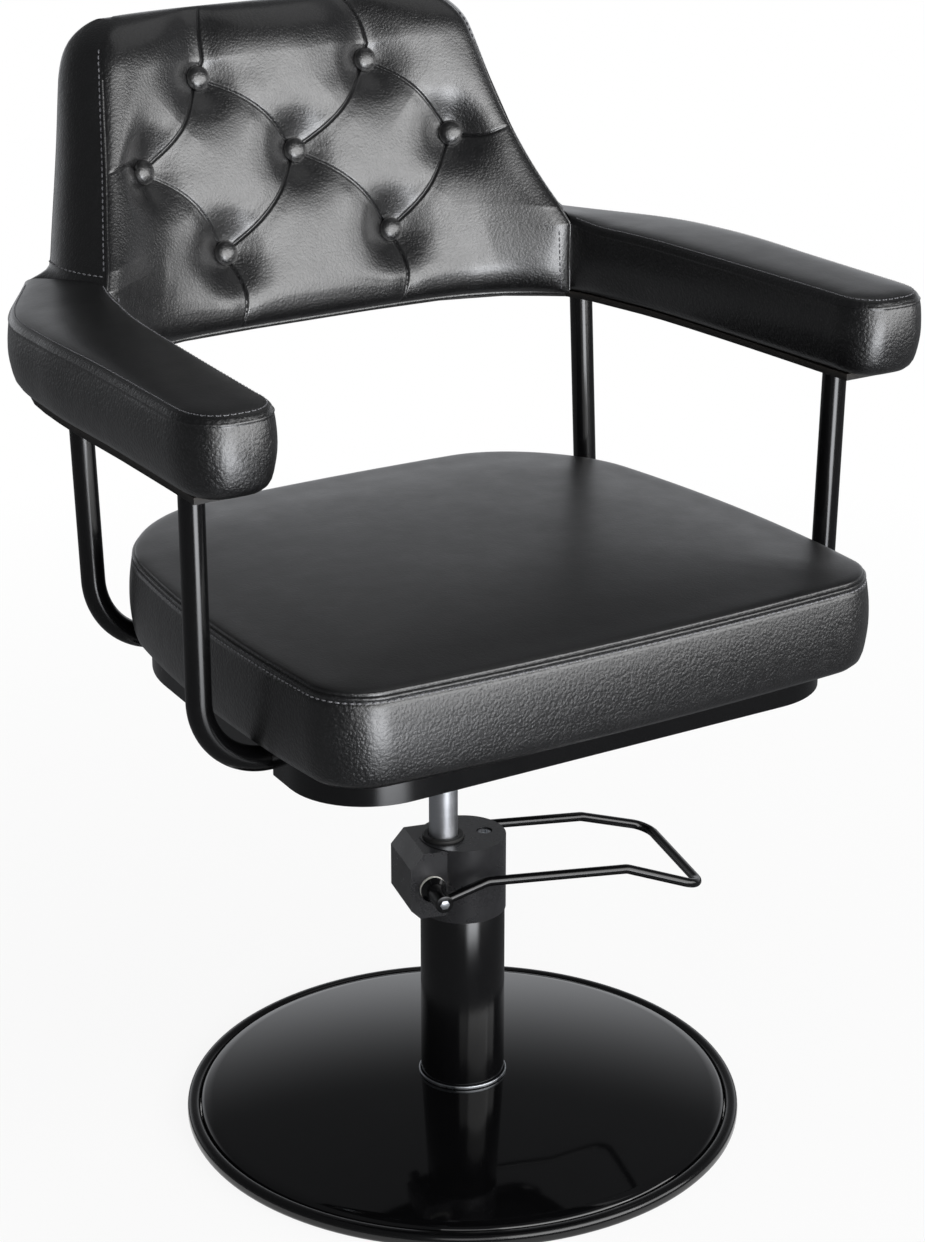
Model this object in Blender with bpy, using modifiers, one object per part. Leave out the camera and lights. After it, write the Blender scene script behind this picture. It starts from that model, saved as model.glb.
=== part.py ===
"""Hydraulic hairdressing chair: round base, foot pump, swivel seat, hoops, arms and buttoned back.

Metres, +Z up, the sitter faces -Y. The origin is on the floor under the middle of the base.
The seat and everything above it is drawn about the ram's axis, the pump about the column's axis.
"""
import math

import bmesh
import bpy
from mathutils import Matrix, Vector

# Clearances
GAP = 0.0003                # between pieces that touch
RUNNING = 0.0006            # round pieces that slide or turn
PIN_EDGE = 0.0005           # chamfer of shafts, pins and screws
NOTCH_GAP = 0.0010          # round a hoop at the skirt of the pan, and over its ends

# Facets round the large turned pieces
ROUND_STEPS = 48

# Base
BASE_RADIUS = 0.265
BASE_RIM_WIDTH = 0.0125
BASE_RIM_HEIGHT = 0.014
BASE_PLATE_THICKNESS = 0.006
DISC_SHEET = 0.0025
DISC_EDGE_HEIGHT = 0.0125
DISC_DOME_HEIGHT = 0.036
FLANGE_RADIUS = 0.078
FLANGE_THICKNESS = 0.008

# Column
COLUMN_RADIUS = 0.0398
COLUMN_WALL = 0.003
FOOT_RING_WIDTH = 0.0018
FOOT_RING_HEIGHT = 0.0035

# Pump head and ram
PUMP_YAW = math.radians(-14.0)
RAM_OFFSET = 0.0188
RAM_RADIUS = 0.0135
RAM_FOOT_Z = 0.140
RAM_TOP_Z = 0.455
CYLINDER_WALL = 0.0025
CYLINDER_RADIUS = 0.0175
PISTON_HEIGHT = 0.012
HEAD_RADIUS = 0.0408
HEAD_BOTTOM_Z = 0.211
HEAD_TOP_Z = 0.285
HEAD_EDGE = 0.0015
GLAND_RADIUS = 0.0195
GLAND_DEPTH = 0.006
GLAND_PROUD = 0.003
GLAND_EDGE = 0.0012
FILLER_X = 0.0215
FILLER_RADIUS = 0.0075
FILLER_DEPTH = 0.005
FILLER_SCREW_HEIGHT = 0.0035
BLOCK_FACE_X = 0.0605
BLOCK_ROOT_X = 0.012
BLOCK_HALF_WIDTH = 0.032
BLOCK_BOTTOM_Z = 0.219
BLOCK_CHAMFER_RUN = 0.0127
BLOCK_CHAMFER_RISE = 0.015
BLOCK_FOOT_CHAMFER = 0.009
BLOCK_EDGE = 0.0012
BLOCK_TOP_DROP = 0.0008      # the block lies a little below the head's top

# Pedal
SHAFT_X = 0.040
SHAFT_Z = 0.249
SHAFT_RADIUS = 0.006
HUB_RADIUS = 0.0085
HUB_END_Y = 0.0695
HUB_END_WALL = 0.004
HUB_EDGE = 0.001
HUB_COLLAR = 0.001          # straight stretch of a hub's foot
HUB_FLARE = 0.00425         # height over which a hub narrows
BUSH_RADIUS = 0.0125
BUSH_THICKNESS = 0.0035
ROD_RADIUS = 0.0045
ROD_HALF_SPAN = 0.0623
ROD_RISE_X = 0.004
ROD_RISE_Z = 0.263
ROD_KNEE_X = 0.1414
ROD_KNEE_Z = 0.2553
ROD_END_X = 0.2146
ROD_END_Z = 0.2308
ROD_END_HALF_SPAN = 0.0714
ROD_BEND = 0.016
ROD_SEAT_DEPTH = 0.0016
ROCKER_RADIUS = 0.0080
ROCKER_HALF_WIDTH = 0.0055
ROCKER_HUG = 70.0           # degrees of the shaft that the rocker holds on each side of its nose
ROCKER_NOSE_RADIUS = 0.003
PLUNGER_X = 0.0515
PLUNGER_RADIUS = 0.0040
PLUNGER_LENGTH = 0.0090
PLUNGER_EDGE = 0.0011
PLUNGER_BORE_TOP_Z = 0.2705
SPRING_WIRE = 0.00035
SPRING_TURNS = 3
CAVITY_HALF_WIDTH = 0.0075
CAVITY_INNER_X = 0.034
CAVITY_OUTER_X = 0.0575
CAVITY_TOP_Z = 0.2580

# Seat mount and pan
BOSS_BOTTOM_Z = 0.385
BOSS_FOOT_RADIUS = 0.024
BOSS_TOP_RADIUS = 0.031
BOSS_COLLAR = 0.012
MOUNT_PLATE_THICKNESS = 0.006
MOUNT_PLATE_HALF_X = 0.095
MOUNT_PLATE_HALF_Y = 0.085
MOUNT_PLATE_CORNER = 0.015
PAN_BOTTOM_Z = 0.4642
PAN_TOP_Z = 0.4925
PAN_SHEET = 0.003
PAN_HALF_WIDTH = 0.2539
PAN_HALF_DEPTH = 0.2297
PAN_CENTRE_Y = -0.0312
PAN_CORNER_FRONT = 0.075
PAN_CORNER_REAR = 0.126
PAN_TAPER = 0.0635

# Hoops
TUBE_RADIUS = 0.011
TUBE_WALL = 0.002
HOOP_RUN_Z = 0.4762
HOOP_BEND = 0.065
FRONT_HOOP_Y = -0.1415
FRONT_HOOP_SETBACK = 0.0880     # of its top behind the arm's front end
FRONT_HOOP_OUTSET = 0.0437      # of its top from the arm's inner edge
FRONT_HOOP_CLEARANCE = 0.0263   # beside the seat cushion
REAR_HOOP_Y = 0.1611
REAR_HOOP_SETBACK = 0.0160      # of its top behind the arm's inner end
REAR_HOOP_OUTSET = 0.0245
REAR_HOOP_INSET = 0.0090        # within the cushion's widest, where the rear rounds off
SADDLE_X = 0.125
SADDLE_HALF_LENGTH = 0.018
SADDLE_HALF_WIDTH = 0.026
STRAP_THICKNESS = 0.003

# Seat cushion
SEAT_HALF_WIDTH = 0.2778
SEAT_HALF_DEPTH = 0.2544
SEAT_CENTRE_Y = -0.044
SEAT_CORNER_FRONT = 0.045
SEAT_CORNER_REAR = 0.119
SEAT_FRONT_BOW = 0.0109
SEAT_SIDE_BOW = 0.0214
SEAT_TAPER = 0.0705
SEAT_SEAM_Z = 0.5783
SEAT_CROWN = 0.011
SEAT_BULGE = 0.007
SEAT_FOOT_ROUND = 0.020
SEAT_BOARD_INSET = 0.048
SEAT_BOARD_THICKNESS = 0.010

# Arms
RAIL_BOTTOM_Z = 0.7290
RAIL_THICKNESS = 0.006
RAIL_INSET = 0.014
ARM_BOTTOM_Z = RAIL_BOTTOM_Z + RAIL_THICKNESS + GAP
ARM_SEAM_Z = 0.8015
ARM_CROWN = 0.007
ARM_FRONT_Y = -0.2335
ARM_FRONT_ROUND = 0.030
ARM_FOOT_ROUND = 0.018
ARM_REAR_RISE = 0.004       # of the inner edge at the back
ARM_REAR_DROP = 0.006       # of the outer edge at the back
ARM_BULGE = 0.07            # of the sides, as a share of half the width
ARM_INNER = ((0.2815, -0.205), (0.2735, -0.065), (0.2635, 0.055), (0.2505, 0.125), (0.2450, 0.1625))
ARM_OUTER = ((0.3635, -0.205), (0.3605, -0.065), (0.3590, 0.055), (0.3440, 0.150), (0.2820, 0.2555))

# Back
BACK_PAD_BOTTOM_Z = 0.7385
BACK_PAD_TOP_Z = 1.0085
COVER_RISE = 0.0080         # of the cover above the pad
COVER_TOP_DRAW = 0.0140     # of the cover's top from its sides
COVER_SHOULDER_DROP = 0.0030
COVER_SHOULDER_DRAW = 0.0050
BACK_FLARE_Z = 0.8188       # where the side seam meets the arm
BACK_FACE_Y = 0.2421        # front face on the middle line at the flare's height
BACK_RECLINE = 0.2935       # run of the front face for each metre of height
BACK_WRAP_POWER = 4.5
BACK_TOP_HALF = 0.1875
BACK_SIDE_SLOPE = 0.215
BACK_FLARE_START_Z = 0.880
BACK_FLARE_WIDTH = 0.0165
BACK_FLARE_HEIGHT = 0.055
BACK_THICKNESS = 0.067
BACK_THIN_LOSS = 0.029655   # of thickness from the flare's height to the top
GUSSET_SPREAD = 0.017       # how much wider the rear edge is than the front seam
ARM_JOIN_TOP_Z = 0.8135     # where the rear starts to spread into the arms, going down
ARM_JOIN_HEIGHT = 0.0185
TOP_DRAW = 0.010            # of the rear face and gussets towards the top edge
TOP_DRAW_HEIGHT = 0.055
REAR_WRAP_POWER = 3.4
GUSSET_SWELL = 0.12         # of a gusset, as a share of its depth
GUSSET_DEPTH = 1.23         # depth of a gusset as a share of the thickness on the middle line
PAD_DEPTH = 0.014           # of the front pad behind its seams
PAD_CROWN = 0.017
TUFT_REACH = 0.030
PLEAT_REACH = 0.011
PLEAT_DEPTH = 0.45
BUTTON_RADIUS = 0.0095
BUTTON_HEIGHT = 0.0065
BUTTON_POCKET = 0.0015
BUTTON_SINK = 0.0015
BUTTON_ROW_HALF = 0.0886    # half the distance between the buttons of the top and the bottom row
BUTTON_SIDE_HALF = 0.1638   # and of the outer ones of the middle row
BUTTON_TOP_DROP = 0.0510    # of the top row below the pad's top
BUTTON_FOOT_RISE = 0.0650   # of the bottom row above the pad's bottom
BUTTON_SIDE_RISE = 0.0048   # of the outer middle buttons above halfway between those rows
BUTTON_CENTRE_RISE = 0.0045
PLEAT_TOP_LEAN = 0.94       # place of a pleat at the pad's top, as a share of its button's
PLEAT_FOOT_LEAN = 0.97
PLEAT_SIDE_RISE = 0.008     # of a pleat from its button to the side seam
PAD_COLUMN_STEPS = 16
PAD_LEVELS = (0.0, 0.08, 0.165, 0.215, 0.275, 0.36, 0.47, 0.555, 0.64, 0.725, 0.815, 0.91, 1.0)
PAD_ROW_STEPS = len(PAD_LEVELS) - 1
BOARD_THICKNESS = 0.007
BOARD_MARGIN_STEPS = 2      # columns and rows of the pad that the board leaves free at each edge
COVER_SEAT = 0.0020         # between the front pad and the cover

FRONT_HOOP_HALF = SEAT_HALF_WIDTH + SEAT_BULGE + FRONT_HOOP_CLEARANCE + TUBE_RADIUS
FRONT_HOOP_TOP_HALF = ARM_INNER[0][0] + FRONT_HOOP_OUTSET
FRONT_HOOP_TOP_Y = ARM_FRONT_Y + FRONT_HOOP_SETBACK
REAR_HOOP_HALF = SEAT_HALF_WIDTH - REAR_HOOP_INSET
REAR_HOOP_TOP_HALF = ARM_INNER[-1][0] + REAR_HOOP_OUTSET
REAR_HOOP_TOP_Y = ARM_INNER[-1][1] + REAR_HOOP_SETBACK
BACK_TOP_Z = BACK_PAD_TOP_Z + COVER_RISE
BACK_THINNING = BACK_THIN_LOSS / (BACK_TOP_Z - BACK_FLARE_Z)
BUTTON_TOP_Z = BACK_PAD_TOP_Z - BUTTON_TOP_DROP
BUTTON_FOOT_Z = BACK_PAD_BOTTOM_Z + BUTTON_FOOT_RISE
BUTTON_HALFWAY_Z = (BUTTON_TOP_Z + BUTTON_FOOT_Z) / 2.0
BUTTONS = ((-BUTTON_ROW_HALF, BUTTON_TOP_Z), (BUTTON_ROW_HALF, BUTTON_TOP_Z),
           (-BUTTON_SIDE_HALF, BUTTON_HALFWAY_Z + BUTTON_SIDE_RISE),
           (0.0, BUTTON_HALFWAY_Z + BUTTON_CENTRE_RISE),
           (BUTTON_SIDE_HALF, BUTTON_HALFWAY_Z + BUTTON_SIDE_RISE),
           (-BUTTON_ROW_HALF, BUTTON_FOOT_Z), (BUTTON_ROW_HALF, BUTTON_FOOT_Z))
RAM_X = -RAM_OFFSET * math.cos(PUMP_YAW)
RAM_Y = -RAM_OFFSET * math.sin(PUMP_YAW)
PLATE_TOP_Z = BASE_PLATE_THICKNESS + GAP


def clear_scene():
    """Remove every object, so that the script starts from nothing."""
    for obj in list(bpy.data.objects):
        bpy.data.objects.remove(obj, do_unlink=True)


def new_collection(name):
    """A collection under the scene's own."""
    made = bpy.data.collections.new(name)
    bpy.context.scene.collection.children.link(made)
    return made


def finish(name, colour, roughness, metallic=0.0):
    """A Principled material with one colour, roughness and metallic value."""
    made = bpy.data.materials.new(name)
    made.use_nodes = True
    shader = made.node_tree.nodes["Principled BSDF"]
    shader.inputs["Base Color"].default_value = (*colour, 1.0)
    shader.inputs["Roughness"].default_value = roughness
    shader.inputs["Metallic"].default_value = metallic
    return made


clear_scene()
PARTS = new_collection("hairdressing_chair")
CUTTERS = new_collection("cutters")
LEATHER = finish("black_leather", (0.012, 0.012, 0.013), 0.45)
GLOSS_STEEL = finish("gloss_black_steel", (0.006, 0.006, 0.007), 0.12)
SATIN_STEEL = finish("satin_black_steel", (0.010, 0.010, 0.011), 0.30)
RAW_STEEL = finish("zinc_plated_steel", (0.55, 0.55, 0.56), 0.35, 1.0)
CHROME = finish("hard_chrome", (0.72, 0.72, 0.74), 0.12, 1.0)
NYLON = finish("white_nylon", (0.75, 0.75, 0.73), 0.45)
RUBBER = finish("black_rubber", (0.015, 0.015, 0.015), 0.70)
PLYWOOD = finish("birch_plywood", (0.48, 0.33, 0.18), 0.65)


def frame(name, location=(0.0, 0.0, 0.0), yaw=0.0, parent=None):
    """An empty that a group of pieces is placed on."""
    empty = bpy.data.objects.new(name, None)
    empty.location = location
    empty.rotation_euler = (0.0, 0.0, yaw)
    empty.parent = parent
    PARTS.objects.link(empty)
    return empty


PUMP = frame("pump_frame", yaw=PUMP_YAW)
PEDAL = frame("pedal_frame", (-SHAFT_X, 0.0, SHAFT_Z), parent=PUMP)
PLUNGER = frame("plunger_frame", (-PLUNGER_X, 0.0, SHAFT_Z), parent=PUMP)
LIFT = frame("lift_frame", (RAM_X, RAM_Y, 0.0))
SWIVEL = frame("swivel_frame", parent=LIFT)


def place(obj, material, parent, location=(0.0, 0.0, 0.0), rotation=(0.0, 0.0, 0.0)):
    """Put a piece in the parts collection on its frame, with its material."""
    PARTS.objects.link(obj)
    obj.parent = parent
    obj.location = location
    obj.rotation_euler = rotation
    obj.data.materials.append(material)
    return obj


def cutter(obj, parent, location=(0.0, 0.0, 0.0), rotation=(0.0, 0.0, 0.0)):
    """Put a cutter in its own collection, drawn as wire and left out of renders."""
    CUTTERS.objects.link(obj)
    obj.parent = parent
    obj.location = location
    obj.rotation_euler = rotation
    obj.hide_render = True
    obj.display_type = "WIRE"
    return obj


def cut(obj, tool, operation="DIFFERENCE"):
    """Boolean of one tool on a piece."""
    step = obj.modifiers.new(tool.name, "BOOLEAN")
    step.operation = operation
    step.solver = "EXACT"
    step.object = tool
    weld = obj.modifiers.new("weld", "WELD")
    weld.merge_threshold = 0.00003


def mesh_object(name, bm, smooth_angle=35.0):
    """An object from a bmesh, with outward faces and smooth round sides."""
    bmesh.ops.recalc_face_normals(bm, faces=bm.faces)
    mesh = bpy.data.meshes.new(name)
    bm.to_mesh(mesh)
    bm.free()
    mesh.shade_smooth()
    mesh.set_sharp_from_angle(angle=math.radians(smooth_angle))
    return bpy.data.objects.new(name, mesh)


def turned(name, profile, steps=48):
    """A turned piece about Z; (radius, height) runs down the outer side and, off the axis, closes."""
    mesh = bpy.data.meshes.new(name)
    count = len(profile)
    links = [(i, i + 1) for i in range(count - 1)]
    if profile[0][0] > 0.0:
        links.append((count - 1, 0))
    mesh.from_pydata([(radius, 0.0, height) for radius, height in profile], links, [])
    obj = bpy.data.objects.new(name, mesh)
    turn = obj.modifiers.new("turn", "SCREW")
    turn.axis = "Z"
    turn.steps = turn.render_steps = steps
    turn.use_merge_vertices = True
    turn.merge_threshold = 0.00001
    turn.use_smooth_shade = True
    return obj


def ring_profile(inner, outer, bottom, top, edge=0.0):
    """Closed section of a ring, with small chamfers on its outer edges."""
    if edge <= 0.0:
        return [(outer, top), (outer, bottom), (inner, bottom), (inner, top)]
    return [(outer - edge, top), (outer, top - edge), (outer, bottom + edge), (outer - edge, bottom),
            (inner, bottom), (inner, top)]


def disc_profile(radius, bottom, top, edge=0.0):
    """Section of a solid disc or pin from the axis, with small chamfers."""
    if edge <= 0.0:
        return [(0.0, top), (radius, top), (radius, bottom), (0.0, bottom)]
    return [(0.0, top), (radius - edge, top), (radius, top - edge), (radius, bottom + edge),
            (radius - edge, bottom), (0.0, bottom)]


def box(name, half, location=(0.0, 0.0, 0.0)):
    """A box with the given half sizes about a place, with its scale applied."""
    bm = bmesh.new()
    bmesh.ops.create_cube(bm, size=2.0)
    bmesh.ops.scale(bm, vec=half, verts=bm.verts)
    bmesh.ops.translate(bm, vec=location, verts=bm.verts)
    return mesh_object(name, bm)


def bent_path(points, radius, steps=6):
    """Points of a path whose corners are rounded by arcs of one radius."""
    corners = [Vector(point) for point in points]
    path = [corners[0]]
    for before, corner, after in zip(corners, corners[1:], corners[2:]):
        into = (before - corner).normalized()
        out = (after - corner).normalized()
        half = into.angle(out) / 2.0
        reach = radius / math.tan(half)
        centre = corner + (into + out).normalized() * (radius / math.sin(half))
        start = (corner + into * reach - centre).normalized()
        end = (corner + out * reach - centre).normalized()
        path.extend(centre + start.slerp(end, i / steps) * radius for i in range(steps + 1))
    path.append(corners[-1])
    return path


def bent_bar(name, points, radius, resolution, wall=0.0):
    """A bent round bar along points, or a tube where a wall is given."""
    curve = bpy.data.curves.new(name, "CURVE")
    curve.dimensions = "3D"
    curve.bevel_depth = radius
    curve.bevel_resolution = resolution
    curve.use_fill_caps = wall <= 0.0
    spline = curve.splines.new("POLY")
    spline.points.add(len(points) - 1)
    for spot, point in zip(spline.points, points):
        spot.co = (*point, 1.0)
    obj = bpy.data.objects.new(name, curve)
    if wall > 0.0:
        shell = obj.modifiers.new("wall", "SOLIDIFY")
        shell.thickness = wall
        shell.offset = -1.0
        shell.use_even_offset = True
    return obj


def flat_plate(name, outlines, bottom, top):
    """A plate from closed outlines; the first is its edge and the others are holes."""
    curve = bpy.data.curves.new(name, "CURVE")
    curve.dimensions = "2D"
    curve.fill_mode = "BOTH"
    curve.extrude = (top - bottom) / 2.0
    for outline in outlines:
        spline = curve.splines.new("POLY")
        spline.points.add(len(outline) - 1)
        for spot, (x, y) in zip(spline.points, outline):
            spot.co = (x, y, 0.0, 1.0)
        spline.use_cyclic_u = True
    drawn = bpy.data.objects.new(name + "_outline", curve)
    CUTTERS.objects.link(drawn)
    bpy.context.view_layer.update()
    graph = bpy.context.evaluated_depsgraph_get()
    bm = bmesh.new()
    bm.from_mesh(bpy.data.meshes.new_from_object(drawn.evaluated_get(graph)))
    bmesh.ops.remove_doubles(bm, verts=bm.verts, dist=0.00001)
    bmesh.ops.translate(bm, vec=(0.0, 0.0, (top + bottom) / 2.0), verts=bm.verts)
    bpy.data.objects.remove(drawn, do_unlink=True)
    return mesh_object(name, bm)


def arc(radius, start, end, steps, centre=(0.0, 0.0)):
    """Points of an arc between two angles in degrees, both ends kept."""
    angles = [math.radians(start + (end - start) * i / steps) for i in range(steps + 1)]
    return [(centre[0] + radius * math.cos(a), centre[1] + radius * math.sin(a)) for a in angles]


def circle(radius, centre, count):
    """Points of a circle."""
    return arc(radius, 0.0, 360.0, count, centre)[:-1]


def loft(name, rings, smooth_angle=35.0):
    """A closed body through rings of equal count, with a fan on each end."""
    bm = bmesh.new()
    rows = [[bm.verts.new(point) for point in ring] for ring in rings]
    count = len(rows[0])
    for lower, upper in zip(rows, rows[1:]):
        for i in range(count):
            j = (i + 1) % count
            bm.faces.new((lower[i], lower[j], upper[j], upper[i]))
    for row in (rows[0], rows[-1]):
        middle = sum((vert.co for vert in row), Vector()) / count
        hub = bm.verts.new(middle)
        for i in range(count):
            bm.faces.new((row[i], row[(i + 1) % count], hub))
    return mesh_object(name, bm, smooth_angle)


def smooth_step(value):
    """Smooth ramp from 0 to 1."""
    value = min(max(value, 0.0), 1.0)
    return value * value * (3.0 - 2.0 * value)


def spline_at(points, share):
    """A point on a smooth curve through 2D points, at a share of its run."""
    place_on = share * (len(points) - 1)
    index = min(int(place_on), len(points) - 2)
    t = place_on - index
    p1, p2 = points[index], points[index + 1]
    p0 = points[index - 1] if index > 0 else tuple(2 * b - c for b, c in zip(p1, p2))
    p3 = points[index + 2] if index + 2 < len(points) else tuple(2 * b - c for b, c in zip(p2, p1))
    return tuple(0.5 * (2 * b + (c - a) * t + (2 * a - 5 * b + 4 * c - d) * t * t
                        + (3 * b - a - 3 * c + d) * t ** 3) for a, b, c, d in zip(p0, p1, p2, p3))


def bowed_outline(half_x, half_y, corner_front, corner_rear, front_bow, side_bow, taper, centre_y, steps=7):
    """Plan of a rounded seat whose sides bow and whose front is wider than its rear."""
    points = []
    for corner, start, signs in ((corner_rear, 0.0, (1, 1)), (corner_rear, 90.0, (-1, 1)),
                                 (corner_front, 180.0, (-1, -1)), (corner_front, 270.0, (1, -1))):
        for i in range(steps + 1):
            angle = math.radians(start + 90.0 * i / steps)
            points.append((signs[0] * (half_x - corner) + corner * math.cos(angle),
                           signs[1] * (half_y - corner) + corner * math.sin(angle)))
        side = points[-1]
        following = {0.0: (-(half_x - corner_rear), half_y), 90.0: (-half_x, -(half_y - corner_front)),
                     180.0: (half_x - corner_front, -half_y), 270.0: (half_x, half_y - corner_rear)}[start]
        points.extend((side[0] + (following[0] - side[0]) * share, side[1] + (following[1] - side[1]) * share)
                      for share in (0.2, 0.4, 0.6, 0.8))
    bowed = []
    for x, y in points:
        wide = (half_x - side_bow * (y / half_y) ** 2 - taper * y) / half_x
        deep = (half_y - front_bow * (x / half_x) ** 2) / half_y
        bowed.append((x * wide, y * deep + centre_y))
    return bowed


def seat_outline(inset):
    """Plan of the cushion, drawn in from its top seam."""
    return bowed_outline(SEAT_HALF_WIDTH - inset, SEAT_HALF_DEPTH - inset,
                         max(SEAT_CORNER_FRONT - inset, 0.02), max(SEAT_CORNER_REAR - inset, 0.04),
                         SEAT_FRONT_BOW, SEAT_SIDE_BOW, SEAT_TAPER, SEAT_CENTRE_Y)


def pan_outline(inset):
    """Plan of the pan's skirt."""
    return bowed_outline(PAN_HALF_WIDTH - inset, PAN_HALF_DEPTH - inset, PAN_CORNER_FRONT - inset,
                         PAN_CORNER_REAR - inset, 0.0, 0.0, PAN_TAPER, PAN_CENTRE_Y)


def build_base():
    """Ballast plate, spun cover, edge ring, flange, column and foot collar."""
    rim_inner = BASE_RADIUS - BASE_RIM_WIDTH
    plate_radius = rim_inner - GAP
    place(turned("base_plate", disc_profile(plate_radius, 0.0, BASE_PLATE_THICKNESS), ROUND_STEPS),
          RAW_STEEL, None)
    rim = [(rim_inner + 0.25 * BASE_RIM_WIDTH, BASE_RIM_HEIGHT)]
    for i in range(4):
        angle = math.radians(90.0 - 90.0 * i / 3)
        round_off = 0.6 * BASE_RIM_HEIGHT
        rim.append((BASE_RADIUS - round_off + round_off * math.cos(angle),
                    BASE_RIM_HEIGHT - round_off + round_off * math.sin(angle)))
    rim += [(BASE_RADIUS - 0.001, 0.0), (rim_inner, 0.0), (rim_inner, BASE_RIM_HEIGHT - 0.001)]
    place(turned("base_rim", rim, ROUND_STEPS), SATIN_STEEL, None)

    hole = COLUMN_RADIUS + GAP
    outer = rim_inner - GAP
    radii = [hole + (outer - hole) * i / 5 for i in range(6)]
    top = [(radius, disc_height(radius)) for radius in radii]
    under = [(radius, height - DISC_SHEET) for radius, height in reversed(top[:-1])]
    edge = [(outer, PLATE_TOP_Z), (outer - DISC_SHEET, PLATE_TOP_Z),
            (outer - DISC_SHEET, DISC_EDGE_HEIGHT - DISC_SHEET)]
    place(turned("base_disc", top + edge + under, ROUND_STEPS), GLOSS_STEEL, None)

    flange_top = PLATE_TOP_Z + FLANGE_THICKNESS
    place(turned("column_flange", ring_profile(hole, FLANGE_RADIUS, PLATE_TOP_Z, flange_top), 32),
          SATIN_STEEL, None)
    place(turned("column_sleeve", ring_profile(COLUMN_RADIUS - COLUMN_WALL, COLUMN_RADIUS, PLATE_TOP_Z,
                                               HEAD_BOTTOM_Z - GAP), 40), SATIN_STEEL, None)
    ring_outer = hole + FOOT_RING_WIDTH
    ring_foot = disc_height(hole) + GAP
    place(turned("column_foot_ring", ring_profile(hole, ring_outer, ring_foot, ring_foot + FOOT_RING_HEIGHT),
                 32), RAW_STEEL, None)


def disc_height(radius):
    """Top of the spun cover at a radius: a low dome."""
    return DISC_EDGE_HEIGHT + (DISC_DOME_HEIGHT - DISC_EDGE_HEIGHT) * (1.0 - (radius / BASE_RADIUS) ** 2)


def build_pump():
    """Cylinder, cast head with its block and bores, gland, filler screw and piston."""
    bore = CYLINDER_RADIUS - CYLINDER_WALL
    foot = PLATE_TOP_Z
    floor = foot + 2.0 * CYLINDER_WALL
    top = HEAD_BOTTOM_Z - GAP
    cup = [(0.0, floor), (bore, floor), (bore, top), (CYLINDER_RADIUS, top), (CYLINDER_RADIUS, foot),
           (0.0, foot)]
    place(turned("pump_cylinder", cup, 24), RAW_STEEL, PUMP, (-RAM_OFFSET, 0.0, 0.0))

    head = place(turned("pump_head", disc_profile(HEAD_RADIUS, HEAD_BOTTOM_Z, HEAD_TOP_Z, HEAD_EDGE), 40),
                 SATIN_STEEL, PUMP)
    cut(head, pump_block(), "UNION")
    tools = [
        (turned("ram_bore_cut", disc_profile(RAM_RADIUS + RUNNING, HEAD_BOTTOM_Z - 0.01, HEAD_TOP_Z + 0.01),
                32), (-RAM_OFFSET, 0.0, 0.0)),
        (turned("gland_cut", disc_profile(GLAND_RADIUS + GAP, HEAD_TOP_Z - GLAND_DEPTH, HEAD_TOP_Z + 0.01),
                32), (-RAM_OFFSET, 0.0, 0.0)),
        (turned("filler_cut", disc_profile(FILLER_RADIUS, HEAD_TOP_Z - FILLER_DEPTH, HEAD_TOP_Z + 0.01), 20),
         (FILLER_X, 0.0, 0.0)),
        (turned("plunger_bore_cut", disc_profile(PLUNGER_RADIUS + RUNNING, CAVITY_TOP_Z - 0.005,
                                                 PLUNGER_BORE_TOP_Z), 16), (-PLUNGER_X, 0.0, 0.0)),
    ]
    for tool, spot in tools:
        cut(head, cutter(tool, PUMP, spot))
    cavity_z = (BLOCK_BOTTOM_Z - 0.01 + CAVITY_TOP_Z) / 2.0
    cavity = box("cavity_cut", ((CAVITY_OUTER_X - CAVITY_INNER_X) / 2.0, CAVITY_HALF_WIDTH,
                                CAVITY_TOP_Z - cavity_z))
    cut(head, cutter(cavity, PUMP, (-(CAVITY_OUTER_X + CAVITY_INNER_X) / 2.0, 0.0, cavity_z)))
    shaft_hole = turned("shaft_cut", disc_profile(SHAFT_RADIUS + RUNNING, -0.06, 0.06), 20)
    cut(head, cutter(shaft_hole, PUMP, (-SHAFT_X, 0.0, SHAFT_Z), (math.radians(90.0), 0.0, 0.0)))

    gland_floor = HEAD_TOP_Z - GLAND_DEPTH + GAP
    place(turned("gland_ring", ring_profile(RAM_RADIUS + GAP, GLAND_RADIUS, gland_floor,
                                            HEAD_TOP_Z + GLAND_PROUD, GLAND_EDGE), 28),
          RUBBER, PUMP, (-RAM_OFFSET, 0.0, 0.0))
    screw_foot = HEAD_TOP_Z - FILLER_DEPTH + GAP
    place(turned("filler_screw", disc_profile(FILLER_RADIUS - RUNNING, screw_foot,
                                              screw_foot + FILLER_SCREW_HEIGHT, PIN_EDGE), 20),
          RAW_STEEL, PUMP, (FILLER_X, 0.0, 0.0))
    piston_top = RAM_FOOT_Z - GAP
    piston = disc_profile(bore - GAP, piston_top - PISTON_HEIGHT, piston_top, PIN_EDGE)
    place(turned("ram_piston", piston, 24),
          RAW_STEEL, LIFT)


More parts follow.
